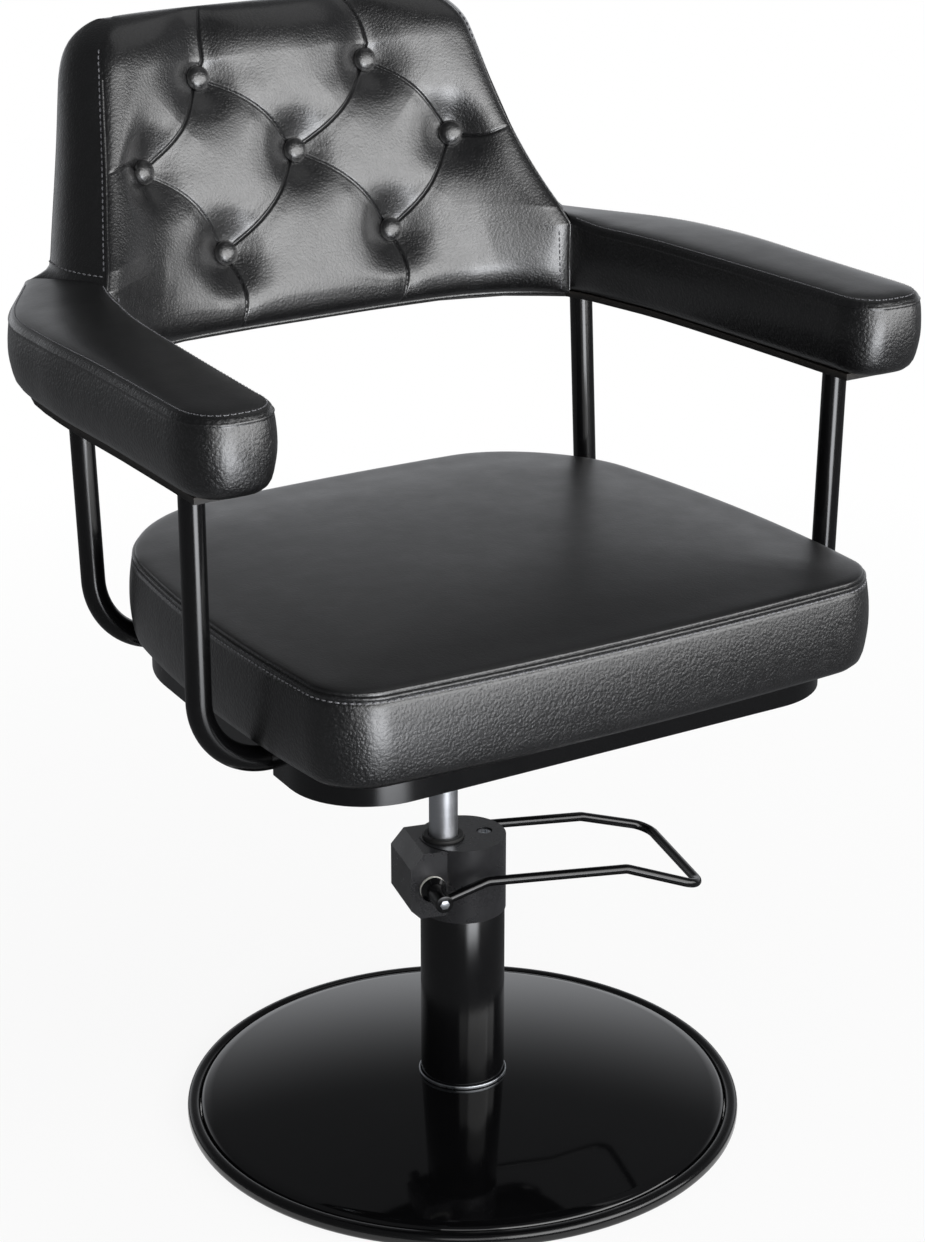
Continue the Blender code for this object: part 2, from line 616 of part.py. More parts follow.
def pump_block():
    """The block cast on the head: a chamfered section drawn across, with small edge bevels."""
    inner_x = -BLOCK_ROOT_X
    top = HEAD_TOP_Z - BLOCK_TOP_DROP
    section = [(inner_x, top), (-BLOCK_FACE_X + BLOCK_CHAMFER_RUN, top),
               (-BLOCK_FACE_X, top - BLOCK_CHAMFER_RISE),
               (-BLOCK_FACE_X, BLOCK_BOTTOM_Z + BLOCK_FOOT_CHAMFER),
               (-BLOCK_FACE_X + BLOCK_FOOT_CHAMFER, BLOCK_BOTTOM_Z), (inner_x, BLOCK_BOTTOM_Z)]
    block = flat_plate("pump_block", [[(x, z) for x, z in section]], -BLOCK_HALF_WIDTH, BLOCK_HALF_WIDTH)
    block.data.transform(Matrix.Rotation(math.radians(90.0), 4, "X"))
    edge = block.modifiers.new("edge", "BEVEL")
    edge.width = BLOCK_EDGE
    edge.segments = 1
    edge.limit_method = "ANGLE"
    return cutter(block, PUMP)


def build_pedal():
    """Shaft, hubs, washers, rocker, plunger with its spring, and the foot loop."""
    across = (math.radians(90.0), 0.0, 0.0)
    shaft_end = HUB_END_Y - HUB_END_WALL
    place(turned("pedal_shaft", disc_profile(SHAFT_RADIUS, -shaft_end + GAP, shaft_end - GAP, PIN_EDGE), 20),
          RAW_STEEL, PEDAL, rotation=across)
    washer_foot = BLOCK_HALF_WIDTH + GAP
    hub_foot = washer_foot + BUSH_THICKNESS + GAP
    socket = SHAFT_RADIUS + GAP
    hub = [(0.0, HUB_END_Y), (HUB_RADIUS - HUB_EDGE, HUB_END_Y), (HUB_RADIUS, HUB_END_Y - HUB_EDGE),
           (HUB_RADIUS, hub_foot + HUB_FLARE), (BUSH_RADIUS, hub_foot + HUB_COLLAR), (BUSH_RADIUS, hub_foot),
           (socket, hub_foot), (socket, shaft_end), (0.0, shaft_end)]
    knuckle = Vector((0.0, -ROD_HALF_SPAN, 0.0))
    rise = Vector((ROD_RISE_X + SHAFT_X, -ROD_HALF_SPAN, ROD_RISE_Z - SHAFT_Z))
    lead = (rise - knuckle).normalized()
    for side, turn in (("near", math.radians(90.0)), ("far", math.radians(-90.0))):
        facing = -1.0 if side == "near" else 1.0
        piece = place(turned("pedal_hub_" + side, hub, 20), SATIN_STEEL, PEDAL, rotation=(turn, 0.0, 0.0))
        hole = turned("rod_socket_cut_" + side,
                      disc_profile(ROD_RADIUS + GAP, HUB_RADIUS - ROD_SEAT_DEPTH, 0.05), 16)
        tilt = Vector((0.0, 0.0, 1.0)).rotation_difference(lead).to_euler()
        cut(piece, cutter(hole, PEDAL, (0.0, facing * ROD_HALF_SPAN, 0.0), tilt))
        place(turned("pedal_bush_" + side, ring_profile(SHAFT_RADIUS + RUNNING, BUSH_RADIUS, washer_foot,
                                                        washer_foot + BUSH_THICKNESS), 24),
              NYLON, PEDAL, rotation=(turn, 0.0, 0.0))
    start = knuckle + lead * (HUB_RADIUS - ROD_SEAT_DEPTH + GAP)
    half = [start, rise, Vector((ROD_KNEE_X + SHAFT_X, -ROD_HALF_SPAN, ROD_KNEE_Z - SHAFT_Z)),
            Vector((ROD_END_X + SHAFT_X, -ROD_END_HALF_SPAN, ROD_END_Z - SHAFT_Z))]
    other = [Vector((point.x, -point.y, point.z)) for point in reversed(half)]
    loop = bent_path(half + other, ROD_BEND, 5)
    place(bent_bar("pedal_rod", loop, ROD_RADIUS, 3), SATIN_STEEL, PEDAL)
    build_rocker(across)


def build_rocker(across):
    """Rocker on the shaft, and the plunger and spring that it works in the block."""
    reach = PLUNGER_X - SHAFT_X
    outline = arc(ROCKER_RADIUS, 180.0 - ROCKER_HUG, 160.0, 5)
    outline += arc(ROCKER_NOSE_RADIUS, 100.0, 260.0, 8, (-reach, 0.0))
    outline += arc(ROCKER_RADIUS, 200.0, 180.0 + ROCKER_HUG, 5)
    outline += arc(SHAFT_RADIUS + GAP, 180.0 + ROCKER_HUG, 180.0 - ROCKER_HUG, 12)
    rocker = flat_plate("pedal_rocker", [outline], -ROCKER_HALF_WIDTH, ROCKER_HALF_WIDTH)
    place(rocker, RAW_STEEL, PEDAL, rotation=across)
    foot = ROCKER_NOSE_RADIUS + GAP
    place(turned("pump_plunger", disc_profile(PLUNGER_RADIUS, foot, foot + PLUNGER_LENGTH, PLUNGER_EDGE), 16),
          RAW_STEEL, PLUNGER)
    bottom = foot + PLUNGER_LENGTH + GAP + SPRING_WIRE
    top = PLUNGER_BORE_TOP_Z - SHAFT_Z - GAP - SPRING_WIRE
    middle = PLUNGER_RADIUS - SPRING_WIRE - GAP
    steps = 8
    count = SPRING_TURNS * steps
    helix = [(middle * math.cos(math.tau * i / steps), middle * math.sin(math.tau * i / steps),
              bottom + (top - bottom) * i / count) for i in range(count + 1)]
    place(bent_bar("plunger_spring", helix, SPRING_WIRE, 0), RAW_STEEL, PLUNGER)


def build_seat():
    """Ram, taper boss, mount plate, pan, hoop clamps, board and cushion."""
    place(turned("ram", disc_profile(RAM_RADIUS, RAM_FOOT_Z, RAM_TOP_Z, PIN_EDGE), 32), CHROME, SWIVEL)
    plate_top = PAN_TOP_Z - PAN_SHEET - GAP
    plate_bottom = plate_top - MOUNT_PLATE_THICKNESS
    boss_top = plate_bottom - GAP
    socket = RAM_RADIUS + GAP
    boss = [(0.0, boss_top), (BOSS_TOP_RADIUS, boss_top), (BOSS_FOOT_RADIUS, BOSS_BOTTOM_Z + BOSS_COLLAR),
            (BOSS_FOOT_RADIUS, BOSS_BOTTOM_Z), (socket, BOSS_BOTTOM_Z), (socket, RAM_TOP_Z + GAP),
            (0.0, RAM_TOP_Z + GAP)]
    place(turned("taper_boss", boss, 32), SATIN_STEEL, SWIVEL)
    outline = bowed_outline(MOUNT_PLATE_HALF_X, MOUNT_PLATE_HALF_Y, MOUNT_PLATE_CORNER, MOUNT_PLATE_CORNER,
                            0.0, 0.0, 0.0, 0.0, 4)
    place(flat_plate("mount_plate", [outline], plate_bottom, plate_top), SATIN_STEEL, SWIVEL)
    build_pan()
    build_cushion()


def build_pan():
    """Pressed pan: a plate with a skirt, notched from below for the hoops, and the hoop clamps."""
    bm = bmesh.new()
    edge = [bm.verts.new((x, y, PAN_TOP_Z)) for x, y in pan_outline(0.0)]
    lower = [bm.verts.new((x, y, PAN_BOTTOM_Z)) for x, y in pan_outline(0.0)]
    bm.faces.new(edge)
    for i in range(len(edge)):
        j = (i + 1) % len(edge)
        bm.faces.new((edge[j], edge[i], lower[i], lower[j]))
    pan = mesh_object("seat_pan", bm)
    shell = pan.modifiers.new("sheet", "SOLIDIFY")
    shell.thickness = PAN_SHEET
    shell.offset = -1.0
    shell.use_even_offset = True
    place(pan, SATIN_STEEL, SWIVEL)
    hole = TUBE_RADIUS + NOTCH_GAP
    across = (0.0, math.radians(90.0), 0.0)
    for name, hoop_y in (("front", FRONT_HOOP_Y), ("rear", REAR_HOOP_Y)):
        bore = disc_profile(hole, -FRONT_HOOP_HALF, FRONT_HOOP_HALF)
        round_cut = turned(name + "_notch_round_cut", bore, 24)
        cut(pan, cutter(round_cut, SWIVEL, (0.0, hoop_y, HOOP_RUN_Z), across))
        drop = (HOOP_RUN_Z - PAN_BOTTOM_Z) / 2.0 + 0.005
        square_cut = box(name + "_notch_cut", (FRONT_HOOP_HALF, hole - 0.00002, drop))
        cut(pan, cutter(square_cut, SWIVEL, (0.0, hoop_y, HOOP_RUN_Z - drop + 0.00001)))
        for side, sign in (("left", -1.0), ("right", 1.0)):
            hoop_clamp(name + "_" + side, sign * SADDLE_X, hoop_y)


def hoop_clamp(label, x, y):
    """Nylon saddle over a hoop and the steel strap under it."""
    across = (0.0, math.radians(90.0), 0.0)
    hole = TUBE_RADIUS + GAP
    top = PAN_TOP_Z - PAN_SHEET - GAP
    middle = HOOP_RUN_Z + GAP
    saddle = place(box("hoop_saddle_" + label, (SADDLE_HALF_LENGTH, SADDLE_HALF_WIDTH, (top - middle) / 2.0)),
                   NYLON, SWIVEL, (x, y, (top + middle) / 2.0))
    tool = turned("saddle_cut_" + label, disc_profile(hole, -0.05, 0.05), 24)
    cut(saddle, cutter(tool, SWIVEL, (x, y, HOOP_RUN_Z), across))
    outer = hole + STRAP_THICKNESS
    flange = math.degrees(math.asin(STRAP_THICKNESS / outer))
    section = [(-SADDLE_HALF_WIDTH, 0.0)] + arc(hole, 180.0, 360.0, 10)
    section += [(SADDLE_HALF_WIDTH, 0.0), (SADDLE_HALF_WIDTH, -STRAP_THICKNESS)]
    section += arc(outer, 360.0 - flange, 180.0 + flange, 10) + [(-SADDLE_HALF_WIDTH, -STRAP_THICKNESS)]
    strap = flat_plate("hoop_strap_" + label, [section], -SADDLE_HALF_LENGTH * 0.8, SADDLE_HALF_LENGTH * 0.8)
    strap.data.transform(Matrix(((0, 0, 1, 0), (1, 0, 0, 0), (0, 1, 0, 0), (0, 0, 0, 1))))
    place(strap, RAW_STEEL, SWIVEL, (x, y, HOOP_RUN_Z))


def build_cushion():
    """Seat board, and the boxed cushion with its crown, seam and rounded foot."""
    foot = PAN_TOP_Z + GAP
    board_top = foot + SEAT_BOARD_THICKNESS
    place(flat_plate("seat_board", [seat_outline(SEAT_BOARD_INSET)], foot, board_top), PLYWOOD, SWIVEL)
    wall = SEAT_BOARD_INSET - GAP
    height = SEAT_SEAM_Z - foot
    levels = [(wall + 0.10, board_top + GAP), (wall, board_top + GAP), (wall, foot), (SEAT_FOOT_ROUND, foot),
              (0.35 * SEAT_FOOT_ROUND, foot + 0.12 * SEAT_FOOT_ROUND), (0.0, foot + 0.5 * SEAT_FOOT_ROUND),
              (-SEAT_BULGE, foot + 0.40 * height), (-SEAT_BULGE, foot + 0.65 * height),
              (-0.4 * SEAT_BULGE, foot + 0.88 * height), (0.0, SEAT_SEAM_Z - 0.003), (0.002, SEAT_SEAM_Z),
              (0.007, SEAT_SEAM_Z + 0.15 * SEAT_CROWN), (0.03, SEAT_SEAM_Z + 0.45 * SEAT_CROWN),
              (0.08, SEAT_SEAM_Z + 0.80 * SEAT_CROWN), (0.16, SEAT_SEAM_Z + SEAT_CROWN)]
    rings = [[(x, y, z) for x, y in seat_outline(inset)] for inset, z in levels]
    place(loft("seat_cushion", rings, 50.0), LEATHER, SWIVEL)


def hoop_points(run_y, top_y, run_half, top_half):
    """Route of a hoop from one arm down, across under the seat and up to the other arm."""
    top = RAIL_BOTTOM_Z + RAIL_THICKNESS - NOTCH_GAP
    corners = [(-top_half, top_y, top), (-run_half, run_y, HOOP_RUN_Z), (run_half, run_y, HOOP_RUN_Z),
               (top_half, top_y, top)]
    return bent_path(corners, HOOP_BEND, 6)


def build_hoops():
    """The two bent tubes that carry the arms and the back."""
    front = hoop_points(FRONT_HOOP_Y, FRONT_HOOP_TOP_Y, FRONT_HOOP_HALF, FRONT_HOOP_TOP_HALF)
    rear = hoop_points(REAR_HOOP_Y, REAR_HOOP_TOP_Y, REAR_HOOP_HALF, REAR_HOOP_TOP_HALF)
    routes = (("front_hoop", front), ("rear_hoop", rear))
    for name, points in routes:
        place(bent_bar(name, points, TUBE_RADIUS, 5, TUBE_WALL), SATIN_STEEL, SWIVEL)


def arm_ring(share, side, narrow=1.0, forward=0.0):
    """Section of an arm at a share of its run from the front, between its inner and outer edges."""
    inner = spline_at(ARM_INNER, share)
    outer = spline_at(ARM_OUTER, share)
    middle = ((inner[0] + outer[0]) / 2.0, (inner[1] + outer[1]) / 2.0 - forward)
    half = ((outer[0] - inner[0]) / 2.0 * narrow, (outer[1] - inner[1]) / 2.0 * narrow)
    rise = smooth_step((share - 0.72) / 0.28) * ARM_REAR_RISE
    drop = smooth_step((share - 0.30) / 0.60) * ARM_REAR_DROP
    top = ARM_SEAM_Z
    foot = ARM_FOOT_ROUND
    height = top - ARM_BOTTOM_Z
    section = [(-0.62, ARM_BOTTOM_Z), (0.0, ARM_BOTTOM_Z), (0.62, ARM_BOTTOM_Z),
               (0.86, ARM_BOTTOM_Z + 0.2 * foot),
               (0.98, ARM_BOTTOM_Z + 0.65 * foot), (1.0 + 0.8 * ARM_BULGE, ARM_BOTTOM_Z + 1.3 * foot),
               (1.0 + ARM_BULGE, ARM_BOTTOM_Z + 0.6 * height),
               (1.0, top - 0.004), (0.96, top), (0.6, top + 0.75 * ARM_CROWN), (0.0, top + ARM_CROWN)]
    section += [(-u, z) for u, z in reversed(section[3:10])]
    ring = []
    for u, z in section:
        lift = 0.0
        if z > ARM_BOTTOM_Z + 0.8 * height:
            lift = rise * (1.0 - u) / 2.0 - drop * (1.0 + u) / 2.0
        ring.append((side * (middle[0] + half[0] * u), middle[1] + half[1] * u, z + lift))
    return ring


def arm_rings(side):
    """Sections of an arm from its rounded front end to the mitre at the back."""
    round_off = ARM_FRONT_ROUND
    front_reach = spline_at(ARM_INNER, 0.0)[1] - ARM_FRONT_Y
    rings = []
    for turn in (25.0, 45.0, 65.0):
        angle = math.radians(turn)
        half_width = (ARM_OUTER[0][0] - ARM_INNER[0][0]) / 2.0
        narrow = 1.0 - round_off * (1.0 - math.sin(angle)) / half_width
        rings.append(shrink_height(arm_ring(0.0, side, narrow, front_reach * math.cos(angle)),
                                   0.006 * (1.0 - math.sin(angle))))
    front = shrink_height(arm_ring(0.0, side, 0.42, front_reach), 0.008)
    rings = [front] + rings
    rings += [arm_ring(i / 12.0, side) for i in range(0, 13)]
    mitre = Vector(ARM_OUTER[-1]) - Vector(ARM_INNER[-1])
    step = Vector((mitre.y, -mitre.x)).normalized() * 2.0 * GAP
    rings[-1] = [(x + side * step.x, y + step.y, z) for x, y, z in rings[-1]]
    return rings


def shrink_height(ring, amount):
    """Draw a section's foot and top together, as a padded end does."""
    middle = (ARM_BOTTOM_Z + ARM_SEAM_Z) / 2.0
    reach = ARM_SEAM_Z - middle
    share = amount / reach
    return [(x, y, z - share * (z - middle) * (1.0 if z < middle else 0.35)) for x, y, z in ring]


def rail_outline(inset):
    """Plan of the U-shaped rail: round the outside, across the back and round the inside."""
    outer = []
    inner = []
    count = 12
    for i in range(count + 1):
        share = i / count
        inside = Vector(spline_at(ARM_INNER, share))
        outside = Vector(spline_at(ARM_OUTER, share))
        across = (outside - inside).normalized() * inset
        outer.append(outside - across)
        inner.append(inside + across)
    lead = Vector((0.0, inset))
    outer[0] += lead * 0.5
    inner[0] += lead * 0.5
    behind = [(u * outer[-1].x, rear_y(u * outer[-1].x, ARM_BOTTOM_Z) - inset) for u in (0.8, 0.55, 0.25)]
    ahead = [(u * inner[-1].x, front_y(u * inner[-1].x, ARM_BOTTOM_Z) + inset)
             for u in (0.92, 0.8, 0.55, 0.25)]
    right_outer = [tuple(point) for point in outer] + behind
    right_inner = [tuple(point) for point in inner] + ahead
    left_outer = [(-x, y) for x, y in reversed(right_outer)]
    left_inner = [(-x, y) for x, y in reversed(right_inner)]
    return right_outer + left_outer + [(-x, y) for x, y in right_inner] + [(-x, y) for x, y in left_inner]


def build_arms():
    """The rail on the tube ends, and the two arm pads that stand on it."""
    holes = [circle(TUBE_RADIUS + 3.0 * GAP, (sign * half, y), 20)
             for half, y in ((FRONT_HOOP_TOP_HALF, FRONT_HOOP_TOP_Y), (REAR_HOOP_TOP_HALF, REAR_HOOP_TOP_Y))
             for sign in (-1.0, 1.0)]
    rail = flat_plate("arm_rail", [rail_outline(RAIL_INSET)] + holes, RAIL_BOTTOM_Z,
                      RAIL_BOTTOM_Z + RAIL_THICKNESS)
    place(rail, PLYWOOD, SWIVEL)
    for side, sign in (("left", -1.0), ("right", 1.0)):
        place(loft("arm_pad_" + side, arm_rings(sign), 50.0), LEATHER, SWIVEL)


def seam_half(z):
    """Half width between the side seams of the front face at a height."""
    if z <= BACK_FLARE_Z:
        return ARM_INNER[-1][0]
    straight = BACK_TOP_HALF + BACK_SIDE_SLOPE * (BACK_PAD_TOP_Z - z)
    flare = BACK_FLARE_WIDTH * (max(BACK_FLARE_START_Z - z, 0.0) / BACK_FLARE_HEIGHT) ** 2
    return min(straight + flare, ARM_INNER[-1][0])


def front_y(x, z):
    """Front face of the back at its seams and buttons: reclined, and wrapped forward at the sides."""
    middle = BACK_FACE_Y + BACK_RECLINE * (z - BACK_FLARE_Z)
    wrap = min(middle, BACK_FACE_Y) - ARM_INNER[-1][1]
    return middle - wrap * (abs(x) / ARM_INNER[-1][0]) ** BACK_WRAP_POWER


def arm_join(z):
    """How far the rear has spread into the arms at a height, from 0 above to 1 below."""
    return smooth_step((ARM_JOIN_TOP_Z - z) / ARM_JOIN_HEIGHT)


def top_draw(z):
    """How far the rear face and the gussets are drawn in towards the top edge."""
    return TOP_DRAW * max(1.0 - (BACK_TOP_Z - z) / TOP_DRAW_HEIGHT, 0.0) ** 2


def rear_half(z):
    """Half width of the rear face at a height; it spreads into the arms at the bottom."""
    narrow = seam_half(max(z, ARM_JOIN_TOP_Z)) + GUSSET_SPREAD - top_draw(z)
    return narrow + (ARM_OUTER[-1][0] - narrow) * arm_join(z)


def rear_y(x, z):
    """Rear face of the back: a little steeper than the front, and wrapped round the corners."""
    middle = BACK_FACE_Y + BACK_RECLINE * (z - BACK_FLARE_Z)
    thick = BACK_THICKNESS - BACK_THINNING * (z - BACK_FLARE_Z) - top_draw(z)
    upper_edge = front_y(seam_half(z), z) + GUSSET_DEPTH * thick
    edge = upper_edge + (ARM_OUTER[-1][1] - upper_edge) * arm_join(z)
    return middle + thick - (middle + thick - edge) * (abs(x) / rear_half(z)) ** REAR_WRAP_POWER


def pad_edge(u, v):
    """How far a place on the front pad is from its rim, from 0 at the rim to 1 inside."""
    side = 1.0 - abs(u) ** 6
    ends = 1.0 - abs(2.0 * v - 1.0) ** 7
    return max(side * ends, 0.0)


def pleats():
    """Sewn pleats of the tufting, as pairs of (x, z) points."""
    b = BUTTONS
    lines = [(b[0], b[2]), (b[0], b[3]), (b[1], b[3]), (b[1], b[4]), (b[2], b[5]), (b[3], b[5]), (b[3], b[6]),
             (b[4], b[6])]
    lines += [(b[i], (b[i][0] * PLEAT_TOP_LEAN, BACK_PAD_TOP_Z)) for i in (0, 1)]
    lines += [(b[i], (b[i][0] * PLEAT_FOOT_LEAN, BACK_PAD_BOTTOM_Z)) for i in (5, 6)]
    lines += [((x, z), (math.copysign(seam_half(z), x), z + PLEAT_SIDE_RISE)) for x, z in (b[2], b[4])]
    return lines


def line_distance(point, start, end):
    """Distance of a 2D point from a stretch of line."""
    p, a, b = Vector(point), Vector(start), Vector(end)
    share = min(max((p - a).dot(b - a) / (b - a).length_squared, 0.0), 1.0)
    return (p - a - (b - a) * share).length


def pad_swell(x, z, u, v, lines):
    """How far the pad stands forward of its seams: a crown, drawn down at buttons and pleats."""
    swell = PAD_CROWN * pad_edge(u, v) ** 0.6
    button = min(math.hypot(x - bx, z - bz) for bx, bz in BUTTONS)
    swell *= 1.0 - math.exp(-(button / TUFT_REACH) ** 2)
    pleat = min(line_distance((x, z), start, end) for start, end in lines)
    return swell * (1.0 - PLEAT_DEPTH * math.exp(-(pleat / PLEAT_REACH) ** 2))


def pad_point(u, v, inset=0.0):
    """Place on the pad's face for a share across and a share up, drawn in by an inset."""
    low = BACK_PAD_BOTTOM_Z + inset
    high = BACK_PAD_TOP_Z - inset
    row = min(int(v * PAD_ROW_STEPS), PAD_ROW_STEPS - 1)
    share = PAD_LEVELS[row] + (PAD_LEVELS[row + 1] - PAD_LEVELS[row]) * (v * PAD_ROW_STEPS - row)
    z = low + (high - low) * share
    return u * (seam_half(z) - inset), z


def sheet_grid(bm, columns, rows, surface):
    """A grid of triangles over a surface of (across, up) shares, mirrored about its middle."""
    grid = [[bm.verts.new(surface(2.0 * i / columns - 1.0, j / rows)) for i in range(columns + 1)]
            for j in range(rows + 1)]
    for j in range(rows):
        for i in range(columns):
            corners = (grid[j][i], grid[j][i + 1], grid[j + 1][i + 1], grid[j + 1][i])
            first = 0 if i < columns // 2 else 1
            for turn in (0, 2):
                bm.faces.new([corners[(first + turn + k) % 4] for k in range(3)])
    return grid[0][:-1] + [row[-1] for row in grid[:-1]] + grid[-1][:0:-1] + [row[0] for row in grid[:0:-1]]


def sheet_body(name, columns, rows, front, rear, finer=1):
    """A closed body between a front grid, which may be finer, and a rear grid, joined at the rim."""
    bm = bmesh.new()
    ahead = sheet_grid(bm, columns * finer, rows * finer, front)
    behind = sheet_grid(bm, columns, rows, rear)
    for i, corner in enumerate(behind):
        following = behind[(i + 1) % len(behind)]
        for k in range(finer):
            bm.faces.new((ahead[i * finer + k], ahead[(i * finer + k + 1) % len(ahead)], corner))
        bm.faces.new((ahead[(i + 1) * finer % len(ahead)], following, corner))
    return mesh_object(name, bm, 50.0)


def build_back():
    """Tufted front pad with its buttons, the board let into its rear, and the cover with its gussets."""
    lines = pleats()
    board_u = 1.0 - 2.0 * BOARD_MARGIN_STEPS / PAD_COLUMN_STEPS
    board_v = BOARD_MARGIN_STEPS / PAD_ROW_STEPS
    recess = BOARD_THICKNESS + 2.0 * GAP

    def pad_front(u, v):
        x, z = pad_point(u, v, GAP)
        return x, front_y(x, z) - pad_swell(x, z, u, v, lines), z

    def pad_rear(u, v):
        x, z = pad_point(u, v, GAP)
        let_in = abs(u) < board_u + GAP and board_v - GAP < v < 1.0 - board_v + GAP
        return x, front_y(x, z) + PAD_DEPTH - (recess if let_in else 0.0), z

    pad = sheet_body("back_pad", PAD_COLUMN_STEPS, PAD_ROW_STEPS, pad_front, pad_rear, 2)
    pad = place(pad, LEATHER, SWIVEL)
    build_buttons(pad)

    def board_face(behind):
        def surface(u, v):
            x, y, z = pad_rear(u * board_u, board_v + v * (1.0 - 2.0 * board_v))
            return x, y + behind, z
        return surface

    free = 2 * BOARD_MARGIN_STEPS
    board = sheet_body("back_board", PAD_COLUMN_STEPS - free, PAD_ROW_STEPS - free, board_face(GAP),
                       board_face(GAP + BOARD_THICKNESS))
    place(board, PLYWOOD, SWIVEL)
    place(loft("back_cover", cover_rings(), 50.0), LEATHER, SWIVEL)


def cover_rings():
    """Level sections of the rear cover, from the underside to the crowned top."""
    low = BACK_PAD_BOTTOM_Z + GAP
    pad_height = BACK_PAD_TOP_Z - BACK_PAD_BOTTOM_Z - 2.0 * GAP
    rings = [cover_ring(z, 0.0, True) for z in (ARM_BOTTOM_Z, BACK_PAD_BOTTOM_Z - GAP)]
    rings += [cover_ring(low + pad_height * share, 0.0, False) for share in PAD_LEVELS]
    rings.append(cover_ring(BACK_PAD_TOP_Z + GAP, 0.0, True))
    rings.append(cover_ring(BACK_TOP_Z - COVER_SHOULDER_DROP, COVER_SHOULDER_DRAW, True))
    rings.append(cover_ring(BACK_TOP_Z, COVER_TOP_DRAW, True))
    return rings


def cover_ring(z, draw_in, full_depth):
    """One level section of the cover: its front, a gusset, its rear and the other gusset."""
    columns = PAD_COLUMN_STEPS
    seam = seam_half(z)
    half = rear_half(z)
    front = []
    for i in range(columns + 1):
        u = 2.0 * i / columns - 1.0
        x = u * (seam - draw_in)
        depth = draw_in if full_depth else PAD_DEPTH + COVER_SEAT
        front.append((x, front_y(u * seam, z) + depth))
    rear = []
    for i in range(columns + 1):
        u = 1.0 - 2.0 * i / columns
        rear.append((u * (half - draw_in), rear_y(u * half, z) - draw_in))
    gusset = []
    start, end = Vector(front[-1]), Vector(rear[0])
    outward = Vector((end - start).yx) * Vector((1.0, -1.0))
    for share in (0.25, 0.5, 0.75):
        swell = GUSSET_SWELL * math.sin(math.pi * share) * (1.0 - arm_join(z))
        gusset.append(start.lerp(end, share) + outward * swell)
    ring = front + [tuple(point) for point in gusset] + rear
    ring += [(-point.x, point.y) for point in reversed(gusset)]
    return [(x, y, z) for x, y in ring]


def build_buttons(pad):
    """Covered buttons, each seated in its own pocket of the pad."""
    pockets = bmesh.new()
    for number, (x, z) in enumerate(BUTTONS, start=1):
        slope = Vector((-(front_y(x + 0.001, z) - front_y(x - 0.001, z)) / 0.002, 1.0,
                        -(front_y(x, z + 0.001) - front_y(x, z - 0.001)) / 0.002)).normalized()
        outward = -slope
        turn = Vector((0.0, 0.0, 1.0)).rotation_difference(outward)
        seat = Vector((x, front_y(x, z), z)) - outward * BUTTON_SINK
        dome = [(0.0, BUTTON_HEIGHT)]
        for i in range(1, 4):
            angle = math.radians(90.0 - 30.0 * i)
            dome.append((BUTTON_RADIUS * math.cos(angle), 0.3 * BUTTON_HEIGHT
                         + 0.7 * BUTTON_HEIGHT * math.sin(angle)))
        dome += [(BUTTON_RADIUS * 0.92, 0.0), (0.0, 0.0)]
        place(turned("back_button_%d" % number, dome, 12), LEATHER, SWIVEL, seat + outward * GAP,
              turn.to_euler())
        reach = 0.04
        matrix = Matrix.Translation(seat + outward * reach / 2.0) @ turn.to_matrix().to_4x4()
        bmesh.ops.create_cone(pockets, cap_ends=True, segments=10, radius1=BUTTON_RADIUS + BUTTON_POCKET,
                              radius2=BUTTON_RADIUS + BUTTON_POCKET, depth=reach, matrix=matrix)
    cut(pad, cutter(mesh_object("button_pockets_cut", pockets), SWIVEL))


build_base()
build_pump()
build_pedal()
build_seat()
build_hoops()
build_arms()
build_back()
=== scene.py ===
"""Looks of a hydraulic hairdressing chair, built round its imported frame.

Metres, +Z up, the sitter faces -Y. The seat, arms and back are drawn about the ram's axis, the pump about
the column's axis, as the frame has them. Each soft pad is swelled by a short cloth simulation.
"""

import logging
import math
from dataclasses import dataclass
from enum import Enum
from typing import Any, Optional, Sequence

import bmesh
import bpy
import numpy as np
from bpy.types import Material, Mesh, Node, NodeTree, Object
from mathutils import Matrix, Vector


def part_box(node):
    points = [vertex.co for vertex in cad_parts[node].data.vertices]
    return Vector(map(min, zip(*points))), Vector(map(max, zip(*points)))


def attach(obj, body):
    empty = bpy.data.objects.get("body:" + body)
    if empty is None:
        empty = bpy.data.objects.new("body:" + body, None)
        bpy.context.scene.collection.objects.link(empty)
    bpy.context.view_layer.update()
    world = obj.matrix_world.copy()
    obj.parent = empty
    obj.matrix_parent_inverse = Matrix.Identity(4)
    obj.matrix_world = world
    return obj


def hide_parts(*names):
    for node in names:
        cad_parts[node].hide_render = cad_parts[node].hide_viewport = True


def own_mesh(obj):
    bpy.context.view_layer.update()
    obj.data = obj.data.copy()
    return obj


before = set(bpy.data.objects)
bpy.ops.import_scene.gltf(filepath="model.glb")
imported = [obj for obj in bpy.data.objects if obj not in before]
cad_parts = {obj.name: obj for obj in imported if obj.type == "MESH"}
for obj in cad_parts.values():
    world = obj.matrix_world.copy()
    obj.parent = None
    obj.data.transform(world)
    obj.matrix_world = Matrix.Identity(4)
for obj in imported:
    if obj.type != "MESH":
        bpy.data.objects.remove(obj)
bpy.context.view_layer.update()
LOG = logging.getLogger("hairdressing_chair")
MM = 0.001
Pair = tuple[float, float]
# Clearance that the frame keeps between pieces that touch
GAP = 0.0003
# Length of each cloth simulation, and how often its result is evened out
SWELL_FRAMES = 20
BLUR_PASSES = 6


class Body(Enum):
    """Bodies of the frame that the pieces ride on."""

    BASE = "base"
    SEAT = "seat"
    PEDAL = "pedal"


class Side(Enum):
    """Sides of the chair, by the sign of x."""

    LEFT = -1
    RIGHT = 1


